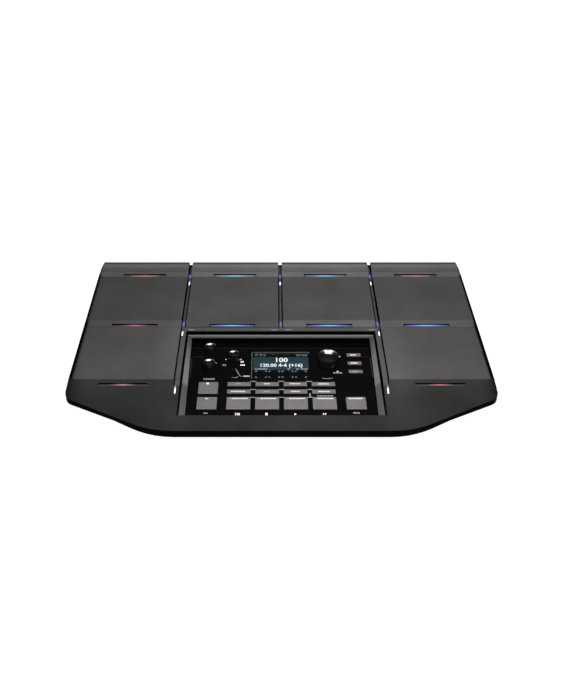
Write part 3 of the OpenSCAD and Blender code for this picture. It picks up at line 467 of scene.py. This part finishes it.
def mesh_piece(name, verts, faces, material, body):
    mesh = bpy.data.meshes.new(name)
    mesh.from_pydata(verts, [], faces)
    mesh.update()
    mesh.materials.append(MATERIAL[material])
    obj = bpy.data.objects.new(name, mesh)
    scene.collection.objects.link(obj)
    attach(obj, body)


# Violet light in the gaps, in places of v and half a depth, and its spill at the ribs
VIOLET = (0.06, 0.045, 0.3)
WINDOW_VIOLET = (0.16, 0.14, 0.42)
LEAKS = ((108, 5.8), (219.5, 4.8))
LEAK_HALF_X = 1.6 * PITCH
SPILL_HALF_X = 4.2
spill = [(rib * PITCH, deck_y(v), SPILL_HALF_X, half) for rib in (-1, 0, 1) for v, half in LEAKS]
tinted(MATERIAL["gap"], VIOLET, [(0, deck_y(v), LEAK_HALF_X, half) for v, half in LEAKS])
tinted(MATERIAL["violet_light"], WINDOW_VIOLET, spill)
for kind in ("1", "2", "3", "4", "low", "slim"):
    tinted(MATERIAL[f"rubber_{kind}"], VIOLET, spill)

# Pads: where each row's lit slot starts, and its columns
PADS = {"lower": (None, (1, 4)), "upper": (BEVEL_V, (1, 2, 3, 4)), "slim": (RISER_V, (1, 2, 3, 4))}
PAD_EDGE = 0.25
PAD_SIDE_X = 50  # a face this far from the pad's middle can look at a rib
SLOT_D = 5
SLOT_SLACK = 0.1
SLIM_LIP = 0.7  # how far the slim pads' rubber reaches into the gap beside it
LIP_X = 55  # a slim pad's sides lie further than this from its middle
LIP_OUTER = OUTER - 10  # the part's own sides lie further out than this


def pad_choice(column, slot_v):
    """Rubber on the faces, with painted shade beside the ribs and in the lit slot."""

    def choose(centre, normal):
        x, v, h = on_deck(centre)
        x -= column_x(column)
        if abs(normal.x) > 0.7 and abs(x) > PAD_SIDE_X:
            return 1
        if slot_v is None or normal.z * cos(TILT) - normal.y * sin(TILT) >= 0.2:
            return 0
        in_slot = abs(x) < SLOT_W / 2 + SLOT_SLACK and slot_v - SLOT_SLACK < v < slot_v + SLOT_D
        return 2 if in_slot else 0

    return choose


def widen(pad, column):
    """Moves the sides of a slim pad into the gaps."""
    for vert in pad.data.vertices:
        x = vert.co.x / MM
        beside = x - column_x(column)
        if abs(beside) > LIP_X and abs(x) < LIP_OUTER:
            vert.co.x += SLIM_LIP * MM if beside > 0 else -SLIM_LIP * MM


for row, (slot_v, columns) in PADS.items():
    for column in columns:
        node = f"{row}_pad_{column}"
        pad = remade(node, f"{node}_rubber", PAD_EDGE)
        kind = {"lower": "low", "upper": column, "slim": "slim"}[row]
        if row == "slim":
            widen(pad, column)
        paint(pad, [f"rubber_{kind}", "gap", "slot"], pad_choice(column, slot_v))
        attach(pad, node)

# Slot lights: half the lens's length, and the colours at its ends, over its length and in its middle
BLUE = (30, (0.05, 0.05, 0.25), (0.05, 0.16, 0.62), (0.2, 0.6, 0.9))
SLOT_LIGHTS = {
    ("apron", 1): (16, (0.04, 0.02, 0.045), (0.22, 0.08, 0.14), (0.56, 0.2, 0.32)),
    ("apron", 4): (16, (0.05, 0.02, 0.025), (0.24, 0.06, 0.08), (0.56, 0.13, 0.17)),
    ("bevel", 1): (20, (0.03, 0.01, 0.03), (0.15, 0.04, 0.14), (0.55, 0.14, 0.42)),
    ("bevel", 2): BLUE,
    ("bevel", 3): BLUE,
    ("bevel", 4): BLUE,
    ("riser", 1): (22, (0.09, 0.07, 0.07), (0.16, 0.08, 0.09), (0.42, 0.11, 0.14)),
    ("riser", 2): (30, (0.11, 0.11, 0.15), (0.11, 0.19, 0.3), (0.15, 0.46, 0.52)),
    ("riser", 3): (30, (0.09, 0.09, 0.14), (0.06, 0.12, 0.3), (0.14, 0.48, 0.72)),
    ("riser", 4): (22, (0.11, 0.09, 0.095), (0.21, 0.09, 0.11), (0.4, 0.11, 0.17)),
}

# Each row of lenses: its v and half its depth
SLOT_PLACES = {"apron": (-8.6, 1.7), "bevel": (BEVEL_V + 2.7, 1.5), "riser": (RISER_V + 0.7, 1.5)}
slot_keys = list(SLOT_LIGHTS)
slot_materials = ["slot"]
for row, column in slot_keys:
    name = f"slot_{row}_{column}"
    v, half_y = SLOT_PLACES[row]
    half_x, *colours = SLOT_LIGHTS[row, column]
    MATERIAL[name] = lens(name, *colours, (column_x(column), deck_y(v)), (half_x, half_y))
    slot_materials.append(name)


def slot_choice(centre, normal):
    """The slot with painted shade, or the lens of the nearest row and column on the faces that look up."""
    if normal.z < 0.3:
        return 0
    x, v, h = on_deck(centre)
    column = min(max(round(x / PITCH + 2.5), 1), 4)
    if v > (BEVEL_V + RISER_V) / 2:
        row = "riser"
    else:
        row = "bevel" if v > BEVEL_V / 2 else "apron"
    return 1 + slot_keys.index((row, column))


paint(nodes["slot_light_guides"], slot_materials, slot_choice)

# Light windows: violet beside the bevels and the risers, in ranges of v, and white elsewhere
VIOLET_WINDOWS = ((95, 130), (212, 260))


def window_choice(centre, normal):
    x, v, h = on_deck(centre)
    return 1 if any(low < v < high for low, high in VIOLET_WINDOWS) else 0


paint(nodes["gap_light_windows"], ["white_light", "violet_light"], window_choice)

# Case, with a painted glow behind each apron window and a painted violet glow on the strip behind the panel
GLOW = (0.5, 0.48, 0.62)
GLOW_Y = EDGE_Y - 13.2
GLOW_HALF = (1.1, 2.6)
STRIP_GLOW_COLOUR = (0.24, 0.22, 0.52)
STRIP_GLOW_XS = (-115.4, -8.4, 9.4, 117.2)
STRIP_GLOW_Y = deck_y(STRIP_V - 4.6)
STRIP_GLOW_HALF = (6, 0.9)


def case_choice(centre, normal):
    """The apron, the outer sides, or painted shade on the other walls."""
    if normal.z > 0.5 and normal.y < -0.2:
        return 1
    return 2 if abs(normal.x) > 0.8 or normal.y > 0.5 else 0


# The tub's front faces get the painted shade of the case's front walls
def tub_choice(centre, normal):
    return 1 if normal.y < -0.6 and centre.y < EDGE_Y * MM else 0


def bezel_choice(centre, normal):
    """The slopes of the bezel with painted reflection, the rear slope with its own painted light, and
    painted shade on its upright and flat faces.
    """
    if not 0.3 < normal.z < 0.96:
        return 0
    return 2 if normal.y < -0.3 else 1


tinted(MATERIAL["apron"], GLOW, [(side * PITCH, GLOW_Y, *GLOW_HALF) for side in (-1, 1)])
tinted(MATERIAL["frame"], STRIP_GLOW_COLOUR, [(x, STRIP_GLOW_Y, *STRIP_GLOW_HALF) for x in STRIP_GLOW_XS] + spill)
paint(nodes["top_case"], ["wall", "apron", "side"], case_choice)
paint(nodes["bottom_case"], ["tub", "wall"], tub_choice)
# The divider frame's sides get the painted shade of the gaps
paint(nodes["divider_frame"], ["gap", "frame"], top_choice)
paint(nodes["panel_bezel"], ["bezel_dark", "bezel", "bezel_rear"], bezel_choice)

# Solids of one material
PLAIN = {
    "control_panel": "panel",
    "pad_deck": "steel",
    "pad_sensors": "film",
    "display_window": "glass",
    "display_module": "module",
    "circuit_boards": "board",
    "key_switches": "socket",
    "control_bodies": "cast",
    "rear_panel": "plate",
    "phone_jacks": "socket",
    "midi_sockets": "socket",
    "usb_socket": "shell",
    "power_inlet": "socket",
    "power_button": "button",
    "rubber_feet": "foot",
    "case_screws": "screw",
    "stand_inserts": "brass",
    "main_level_shaft": "shaft",
    "phones_level_shaft": "shaft",
    "tone_shaft": "shaft",
    "dial_shaft": "shaft",
}
for name, material in PLAIN.items():
    dress(name, material)

# Rounded edges: width, segments and the least angle
EDGES = {
    "top_case": (0.8, 3, 40),
    "bottom_case": (0.6, 2, 40),
    "divider_frame": (0.2, 2, 32),
    "usb_socket": (0.2, 2, 32),
    "power_button": (0.5, 3, 32),
}
for name, edge in EDGES.items():
    finish_edges(nodes[name], *edge)

# Foam under the pads
CUSHION_EDGE = 0.5
cushions = remade("pad_cushions", "pad_cushions_foam", CUSHION_EDGE)
cushions.data.materials.append(MATERIAL["foam"])
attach(cushions, "case")

# Keys, knobs and dial, with their rounded edges, and painted shade on the keys' sides
KEY_EDGE = (0.25, 2, 32)
CAP_EDGE = (0.35, 4, 30)
KEY_COUNTS = {"edit": 4, "tool": 4, "loop": 4, "side": 3}
keys = ["play_key", "record_key", "exit_key"]
keys += [f"{kind}_key_{i + 1}" for kind, count in KEY_COUNTS.items() for i in range(count)]
for name in keys:
    paint(nodes[name], ["key_side", "key"], top_choice)
    finish_edges(nodes[name], *KEY_EDGE)

caps = {"knob": bpy.data.collections.new("knob_caps"), "dial": bpy.data.collections.new("dial_cap")}
for name in ("main_level_knob", "phones_level_knob", "tone_knob", "value_dial"):
    cap = remade(name, f"{name}_cap", *CAP_EDGE)
    caps[name.split("_")[-1]].objects.link(cap)
    cap.data.materials.append(MATERIAL["knob"])
    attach(cap, name)

# Rear sockets: washers and nuts on the jacks, sleeves and pins in the round sockets
JACK_FROM = -176
PAIR_PITCH = 72
JACK_PITCH = 30
JACK_XS = [JACK_FROM + pair * PAIR_PITCH + i * JACK_PITCH for pair in range(3) for i in range(2)]
JACK_R = 5.3
WASHER_R = 7.6
WASHER_Y = (0.02, 0.3)
NUT_R = 6.3
NUT_Y = (0.32, 1.5)
NUT_CHAMFER = 0.2
ROUND_HALF = 9.5
SLEEVE_R = (5.2, 5.8)
SLEEVE_Y = (-0.98, -0.5)
PIN_R = (0.45, 0.85)
PIN_Y = (-0.98, -0.8)
PIN_COUNT = 5
PIN_CIRCLE_R = 3.6


def hexagon(r, t):
    """How far a hexagon reaches at an angle, with its flats at r."""
    return r / cos((t + pi / 6) % (pi / 3) - pi / 6)


def turned(rings, x, z, outline, six_sided=False, steps=24):
    """Adds a ring turned round a line to the rear, from an outline of radii and y behind the rear wall.

    A six-sided ring has flats on all of its outline but the bore, and a chamfer where it is below its rim.
    """
    verts, faces = rings
    base = len(verts)
    n = len(outline)
    bore = min(r for r, y in outline)
    rim = max(r for r, y in outline)
    for i in range(steps):
        t = 2 * pi * i / steps
        for r, y in outline:
            if six_sided and r > bore:
                r = hexagon(r if r == rim else r * cos(pi / 6), t)
            verts.append(Vector((x + r * cos(t), WALL_Y + y, z + r * sin(t))) * MM)
    for i in range(steps):
        j = (i + 1) % steps
        for k in range(n):
            m = (k + 1) % n
            faces.append([base + i * n + k, base + i * n + m, base + j * n + m, base + j * n + k])


def band(bore, rim, low, high):
    """The outline of a plain ring."""
    return [(bore, low), (rim, low), (rim, high), (bore, high)]


nut = band(JACK_R, NUT_R, *NUT_Y)
nut[2:3] = [(NUT_R, NUT_Y[1] - NUT_CHAMFER), (NUT_R - NUT_CHAMFER, NUT_Y[1])]
nuts = ([], [])
for x in JACK_XS:
    turned(nuts, x, SOCKET_Z, band(JACK_R, WASHER_R, *WASHER_Y))
    turned(nuts, x, SOCKET_Z, nut, True)
mesh_piece("jack_nuts", *nuts, "shell", "case")

low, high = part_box("midi_sockets")
pins = ([], [])
for x in (low.x / MM + ROUND_HALF, high.x / MM - ROUND_HALF):
    turned(pins, x, SOCKET_Z, band(*SLEEVE_R, *SLEEVE_Y))
    for i in range(PIN_COUNT):
        t = pi * i / (PIN_COUNT - 1)
        pin_x = x + PIN_CIRCLE_R * cos(t)
        pin_z = SOCKET_Z + PIN_CIRCLE_R * sin(t)
        turned(pins, pin_x, pin_z, band(*PIN_R, *PIN_Y), steps=12)
mesh_piece("midi_pins", *pins, "shell", "case")

# Shapes of printed marks, as outlines in x and v


def rect(x, v, w, d):
    return [(x - w / 2, v - d / 2), (x + w / 2, v - d / 2), (x + w / 2, v + d / 2), (x - w / 2, v + d / 2)]


def disc(x, v, r, steps=20):
    return [(x + r * cos(2 * pi * i / steps), v + r * sin(2 * pi * i / steps)) for i in range(steps)]


def arrow(x, v, w, half):
    """A triangle that points to the right."""
    return [(x, v - half), (x + w, v), (x, v + half)]


def stroke(a, b, w):
    """A straight line of width w from a to b."""
    d = Vector((b[0] - a[0], b[1] - a[1])).normalized() * w / 2
    left = [(b[0] - d.y, b[1] + d.x), (a[0] - d.y, a[1] + d.x)]
    return [(a[0] + d.y, a[1] - d.x), (b[0] + d.y, b[1] - d.x)] + left


def arc(x, v, r, start, end, w, steps=10):
    """A bent line of width w as a row of four-sided pieces."""
    cells = []
    for i in range(steps):
        t0 = radians(start + (end - start) * i / steps)
        t1 = radians(start + (end - start) * (i + 1) / steps)
        corners = ((r + w / 2, t0), (r + w / 2, t1), (r - w / 2, t1), (r - w / 2, t0))
        cells.append([(x + far * cos(t), v + far * sin(t)) for far, t in corners])
    return cells


def caption(x, v, w, d, letters):
    """A caption as a broken bar, with a share of each letter's room left open."""
    step = w / letters
    return [rect(x - w / 2 + (i + 0.5) * step, v, step * 0.78, d) for i in range(letters)]


def number(text, x, v, size, stretch):
    """Figures as flat outlines, centred at x with their foot at v."""
    curve = bpy.data.curves.new("figures", "FONT")
    curve.body = text
    curve.size = size
    curve.align_x = "CENTER"
    curve.offset = size * 0.022
    curve.resolution_u = 3
    holder = bpy.data.objects.new("figures", curve)
    scene.collection.objects.link(holder)
    graph = bpy.context.evaluated_depsgraph_get()
    mesh = bpy.data.meshes.new_from_object(holder.evaluated_get(graph))
    places = [(x + vert.co.x * stretch, v + vert.co.y) for vert in mesh.vertices]
    cells = [[places[i] for i in face.vertices] for face in mesh.polygons]
    bpy.data.objects.remove(holder)
    bpy.data.curves.remove(curve)
    bpy.data.meshes.remove(mesh)
    return cells


PRINT_LIFT = 0.01
PRINT_T = 0.06
SCREEN_T = 0.12
LAMP_T = 0.04


def printed(name, cells, h, material, body, thick=PRINT_T, tilt=TILT):
    """Thin raised print: each outline becomes a low prism on the plane at height h."""
    verts = []
    faces = []
    for cell in cells:
        n = len(cell)
        area = sum(cell[i - 1][0] * cell[i][1] - cell[i][0] * cell[i - 1][1] for i in range(n))
        ring = cell if area > 0 else cell[::-1]
        base = len(verts)
        verts += [deck(x, v, h + thick, tilt) for x, v in ring]
        verts += [deck(x, v, h + PRINT_LIFT, tilt) for x, v in ring]
        faces.append(list(range(base, base + n)))
        for i in range(n):
            j = (i + 1) % n
            faces.append([base + j, base + i, base + n + i, base + n + j])
    mesh_piece(name, verts, faces, material, body)


# Panel captions: x, v, width, depth and letters
WHITE_CAPTIONS = (
    (-48.6, 49.2, 4.5, 3.4, 2),
    (-48.0, 43.0, 6.3, 3.0, 3),
    (-42.5, 21.8, 7.6, 2.2, 4),
)
GREY_CAPTIONS = (
    (52.1, -14.5, 19.2, 2.4, 6),
    (-70.9, 43.0, 5.2, 3.0, 2),
    (-88.2, 16.3, 14.0, 3.0, 6),
    (69.6, 28.0, 11.2, 2.6, 4),
    (-88.7, -44.5, 5.5, 2.2, 3),
    (87.2, -44.1, 8.1, 2.6, 3),
)

# Panel lines: both ends and the width
STROKES = (
    ((-56.3, 35.6), (-50.6, 21.9), 1.0),
    ((-50.6, 21.6), (-38.4, 21.6), 0.7),
    ((-60.6, 19.2), (-55.2, 18.9), 0.8),
    ((-55.2, 18.9), (-53.0, 21.4), 0.8),
    ((-84.2, 50.8), (-79.9, 45.9), 0.9),
)

# Lines that link the keys in a row: v and depth
LINK_W = 7.2
LINKS = ((12.0, 1.4), (-2.9, 1.5), (-16.9, 1.2))
LINK_STEM = (34.2, -12.8, 1.8, 6.6)

# Dots beside the knobs and the dial, the dial's pointer and the curve in front of the dial
DOTS = ((-69.1, 53.8, 0.95), (-50.2, 53.8, 0.95), (74.1, 59.9, 0.9))
POINTER = [(68.0, 29.9), (71.6, 29.9), (69.8, 31.8)]
DIAL_CURVE = (56.7, 33.2, 16.2, 247, 293, 0.8)

# Signs under the loop keys: bars, a block and arrows
SIGN_V = -46.1
BAR_XS = (-53.5, -51.5, -49.5)
BLOCK_X = -17.7
ARROWS = ((14.8, SIGN_V, 2.6, 2.1), (48.2, -45.7, 2.1, 1.7), (50.5, -45.7, 2.1, 1.7))

white = [disc(*dot) for dot in DOTS] + [POINTER] + [arrow(*sign) for sign in ARROWS]
white += [rect(x, SIGN_V, 1.3, 3.6) for x in BAR_XS] + [rect(BLOCK_X, SIGN_V, 3.0, 4.2)]
for place in WHITE_CAPTIONS:
    white += caption(*place)
grey = [rect(x, v, LINK_W, d) for v, d in LINKS for x in (-KEY_PITCH, 0, KEY_PITCH)]
grey += [rect(*LINK_STEM)] + [stroke(*line) for line in STROKES] + arc(*DIAL_CURVE)
for place in GREY_CAPTIONS:
    grey += caption(*place)
printed("panel_print_white", white, PANEL_H, "print", "case")
printed("panel_print_grey", grey, PANEL_H, "print_dim", "case")

# Panel seams and the line round the display: x, v, width and depth
SEAMS = ((-104.4, 59.1, 13.2, 0.5), (105.1, 59.1, 10.5, 0.5), (-112.2, 38, 0.9, 38), (112.4, 38, 0.9, 38))
DISPLAY_LINES = ((-36.6, 42.8, 0.7, 52.0), (-0.3, 68.2, 73.4, 0.8))
printed("panel_seam", [rect(*line) for line in SEAMS], PANEL_H, "seam", "case")
printed("display_edge", [rect(*line) for line in DISPLAY_LINES], PANEL_H, "print_line", "case")

# The side strips and painted shade for the gaps beside them run on over the apron to its light windows
STRIP_END_V = -5.95
STRIP_END_D = 9.7
for name, material, x, w in (("strip_ends", "frame", 123.9, 5.6), ("strip_end_lines", "gap", 127.55, 1.4)):
    cells = [rect(side * x, STRIP_END_V, w, STRIP_END_D) for side in (-1, 1)]
    printed(name, cells, 0.0, material, "case", tilt=APRON_TILT)

# Key captions: x, v, width, depth and letters, and whether it is bright
CAPTIONS = {
    "edit_key_1": (-52.4, 6.6, 6.4, 1.7, 3, False),
    "edit_key_2": (-17.5, 6.6, 7.6, 1.8, 3, True),
    "edit_key_3": (16.6, 6.6, 13.1, 1.8, 6, True),
    "edit_key_4": (51.1, 6.2, 13.3, 2.2, 6, True),
    "tool_key_1": (-52.1, -7.5, 17.0, 1.8, 8, True),
    "tool_key_2": (-17.4, -7.5, 7.5, 1.7, 3, False),
    "tool_key_3": (16.8, -7.5, 11.0, 1.8, 5, True),
    "tool_key_4": (51.1, -7.6, 14.4, 1.8, 6, True),
    "record_key": (-88.8, -20.4, 4.0, 1.9, 2, True),
    "exit_key": (87.9, -20.1, 17.8, 1.9, 7, True),
    "side_key_1": (91.2, 61.8, 7.5, 2.6, 3, True),
    "side_key_2": (91.2, 45.8, 8.4, 2.6, 4, True),
    "side_key_3": (91.1, 29.4, 7.2, 1.9, 3, False),
}
LOOP_V = -20.1
LOOP_W = 19.3
LOOP_SHIFT = 1.4
LOOP_DOT_SHIFT = -10.4
for name, (*place, bright) in CAPTIONS.items():
    printed(f"{name}_print", caption(*place), KEY_H, "print" if bright else "print_mid", name)
for i in range(KEY_COUNTS["loop"]):
    name = f"loop_key_{i + 1}"
    x = (i - 1.5) * KEY_PITCH
    bar = rect(x + LOOP_SHIFT, LOOP_V, LOOP_W, 1.7)
    printed(f"{name}_print", caption(x + LOOP_SHIFT, LOOP_V, LOOP_W, 2.2, 9) + [bar], KEY_H, "print", name)
    printed(f"{name}_sign", [disc(x + LOOP_DOT_SHIFT, LOOP_V, 0.95, 12)], KEY_H, "print_mid", name)
printed("play_key_print", [disc(-89.2, 6.8, 1.9)], KEY_H, "print", "play_key")
printed("side_key_2_lamp", [rect(91.2, 45.7, 11.0, 4.6)], KEY_H, "key_red", "side_key_2", LAMP_T)

# Display picture under the window: bands of v and depth, figures, captions and four dial signs
LIT_X = -0.3
LIT_W = 69.6
BANDS = {"bar": (62.7, 6.0), "main": (47.05, 25.3), "low": (24.7, 19.4)}
SCREEN_CAPTIONS = ((-25.0, 16.0, 3.0, 7), (9.5, 3.4, 3.4, 1), (20.5, 3.6, 3.4, 2), (28.6, 9.0, 2.8, 4))
SCREEN_CAPTION_V = 36.2
SIGN_PITCH = 16.4
SIGN_X = -0.2
SIGN_ARC_V = 26.4
SIGN_R = 8.2
SIGN_TURNS = (-42, 42, 138, 222)
SIGN_SPAN = 9
for name, (v, d) in BANDS.items():
    printed(f"display_{name}", [rect(LIT_X, v, LIT_W, d)], SCREEN_H, f"screen_{name}", "case")
figures = number("100", 0.2, 49.9, 11.8, 0.95) + number("120.00 4-4 (+16)", 0.1, 40.7, 8.6, 0.92)
printed("display_figures", figures, SCREEN_H, "screen_white", "case", SCREEN_T)
small = number("01 12 16", -25.9, 62.0, 5.0, 0.75) + number("24.0 48.0", 26.1, 62.0, 4.2, 0.9)
for x, w, d, letters in SCREEN_CAPTIONS:
    small += caption(x, SCREEN_CAPTION_V, w, d, letters)
for i in range(4):
    x = (i - 1.5) * SIGN_PITCH + SIGN_X
    for turn in SIGN_TURNS:
        small += arc(x, SIGN_ARC_V, SIGN_R, turn - SIGN_SPAN, turn + SIGN_SPAN, 1.5, 3)
printed("display_small", small, SCREEN_H, "screen_soft", "case", SCREEN_T)

# Stage: a floor in metres that gives some light of its own
FLOOR_HALF = 30
FLOOR_Z = -0.0002
floor = bpy.data.meshes.new("floor")
corners = [(x * FLOOR_HALF, y * FLOOR_HALF, FLOOR_Z) for x, y in ((-1, -1), (1, -1), (1, 1), (-1, 1))]
floor.from_pydata(corners, [], [(0, 1, 2, 3)])
floor_obj = bpy.data.objects.new("floor", floor)
scene.collection.objects.link(floor_obj)
pale = new_look("floor_pale")
pale.feed(pale.ramp(pale.noise(2), [(0.3, (0.4, 0.4, 0.4)), (0.7, (0.42, 0.42, 0.42))]), "Base Color")
pale.give("Roughness", 0.9)
pale.give("Specular IOR Level", 0.1)
pale.give("Emission Color", (1, 1, 1, 1))
pale.give("Emission Strength", 0.95)
floor.materials.append(pale.material)


def softbox(name, place, target, size, power):
    """A flat lamp at a place in metres, turned to its target."""
    lamp = bpy.data.lights.new(name, "AREA")
    lamp.energy = power
    lamp.shape = "RECTANGLE"
    lamp.size, lamp.size_y = size
    obj = bpy.data.objects.new(name, lamp)
    obj.location = place
    obj.rotation_euler = (Vector(place) - Vector(target)).to_track_quat("Z", "Y").to_euler()
    scene.collection.objects.link(obj)
    return obj


# Lamps: the main one, and a window for the caps of each kind, with its x, width and power
key_light = softbox("key_light", (0.06, -0.36, 0.44), (0.03, 0, 0), (0.3, 0.3), 3.2)
key_light.visible_glossy = False
for kind, x, wide, power in (("knob", -0.3, 0.46, 13), ("dial", 0.175, 0.39, 11)):
    window = softbox(f"{kind}_window", (x, 1.25, 0.83), (x / 4, 0, 0.05), (wide, 0.6), power)
    window.visible_diffuse = False
    window.light_linking.receiver_collection = caps[kind]

# Studio walls, in stops of height and brightness: the rear one is bright low down and dark above
REAR_WALL = [(0.0, 1.0), (0.2, 1.4), (0.36, 1.4), (0.52, 0.03), (0.85, 0.03), (1.0, 0.4)]
FRONT_WALL = [(0.0, 0.4), (0.7, 0.4), (1.0, 0.3)]
WALL_BLEND = 0.25
world = bpy.data.worlds.new("studio")
scene.world = world
world.use_nodes = True
tree = world.node_tree
where = tree.nodes.new("ShaderNodeTexCoord")
axes = tree.nodes.new("ShaderNodeSeparateXYZ")
tree.links.new(where.outputs["Generated"], axes.inputs["Vector"])
side = tree.nodes.new("ShaderNodeMapRange")
side.inputs["From Min"].default_value = -WALL_BLEND
side.inputs["From Max"].default_value = WALL_BLEND
tree.links.new(axes.outputs["Y"], side.inputs["Value"])
blend = tree.nodes.new("ShaderNodeMixRGB")
tree.links.new(side.outputs["Result"], blend.inputs["Fac"])
for stops, into in ((FRONT_WALL, "Color1"), (REAR_WALL, "Color2")):
    wall = tree.nodes.new("ShaderNodeValToRGB")
    fill_ramp(wall, [(height, (level, level, level)) for height, level in stops])
    tree.links.new(axes.outputs["Z"], wall.inputs["Fac"])
    tree.links.new(wall.outputs["Color"], blend.inputs[into])
back = tree.nodes["Background"]
tree.links.new(blend.outputs["Color"], back.inputs["Color"])
back.inputs["Strength"].default_value = 1.0

# Camera, with its place measured from the deck's front edge
CAMERA_PLACE = (-11.1, EDGE_Y - 826.9, EDGE_Z + 532.6)
CAMERA_DOWN = 30.8
camera = bpy.data.cameras.new("camera")
camera.lens = 42.28
camera.sensor_width = 36
camera.sensor_fit = "AUTO"
camera.shift_x = 0.0134
camera.clip_end = 100
camera_obj = bpy.data.objects.new("camera", camera)
camera_obj.location = Vector(CAMERA_PLACE) * MM
camera_obj.rotation_euler = (radians(90 - CAMERA_DOWN), 0, 0)
scene.collection.objects.link(camera_obj)
scene.camera = camera_obj

scene.view_settings.view_transform = "Standard"
scene.view_settings.look = "None"
scene.view_settings.exposure = 0
scene.view_settings.gamma = 1
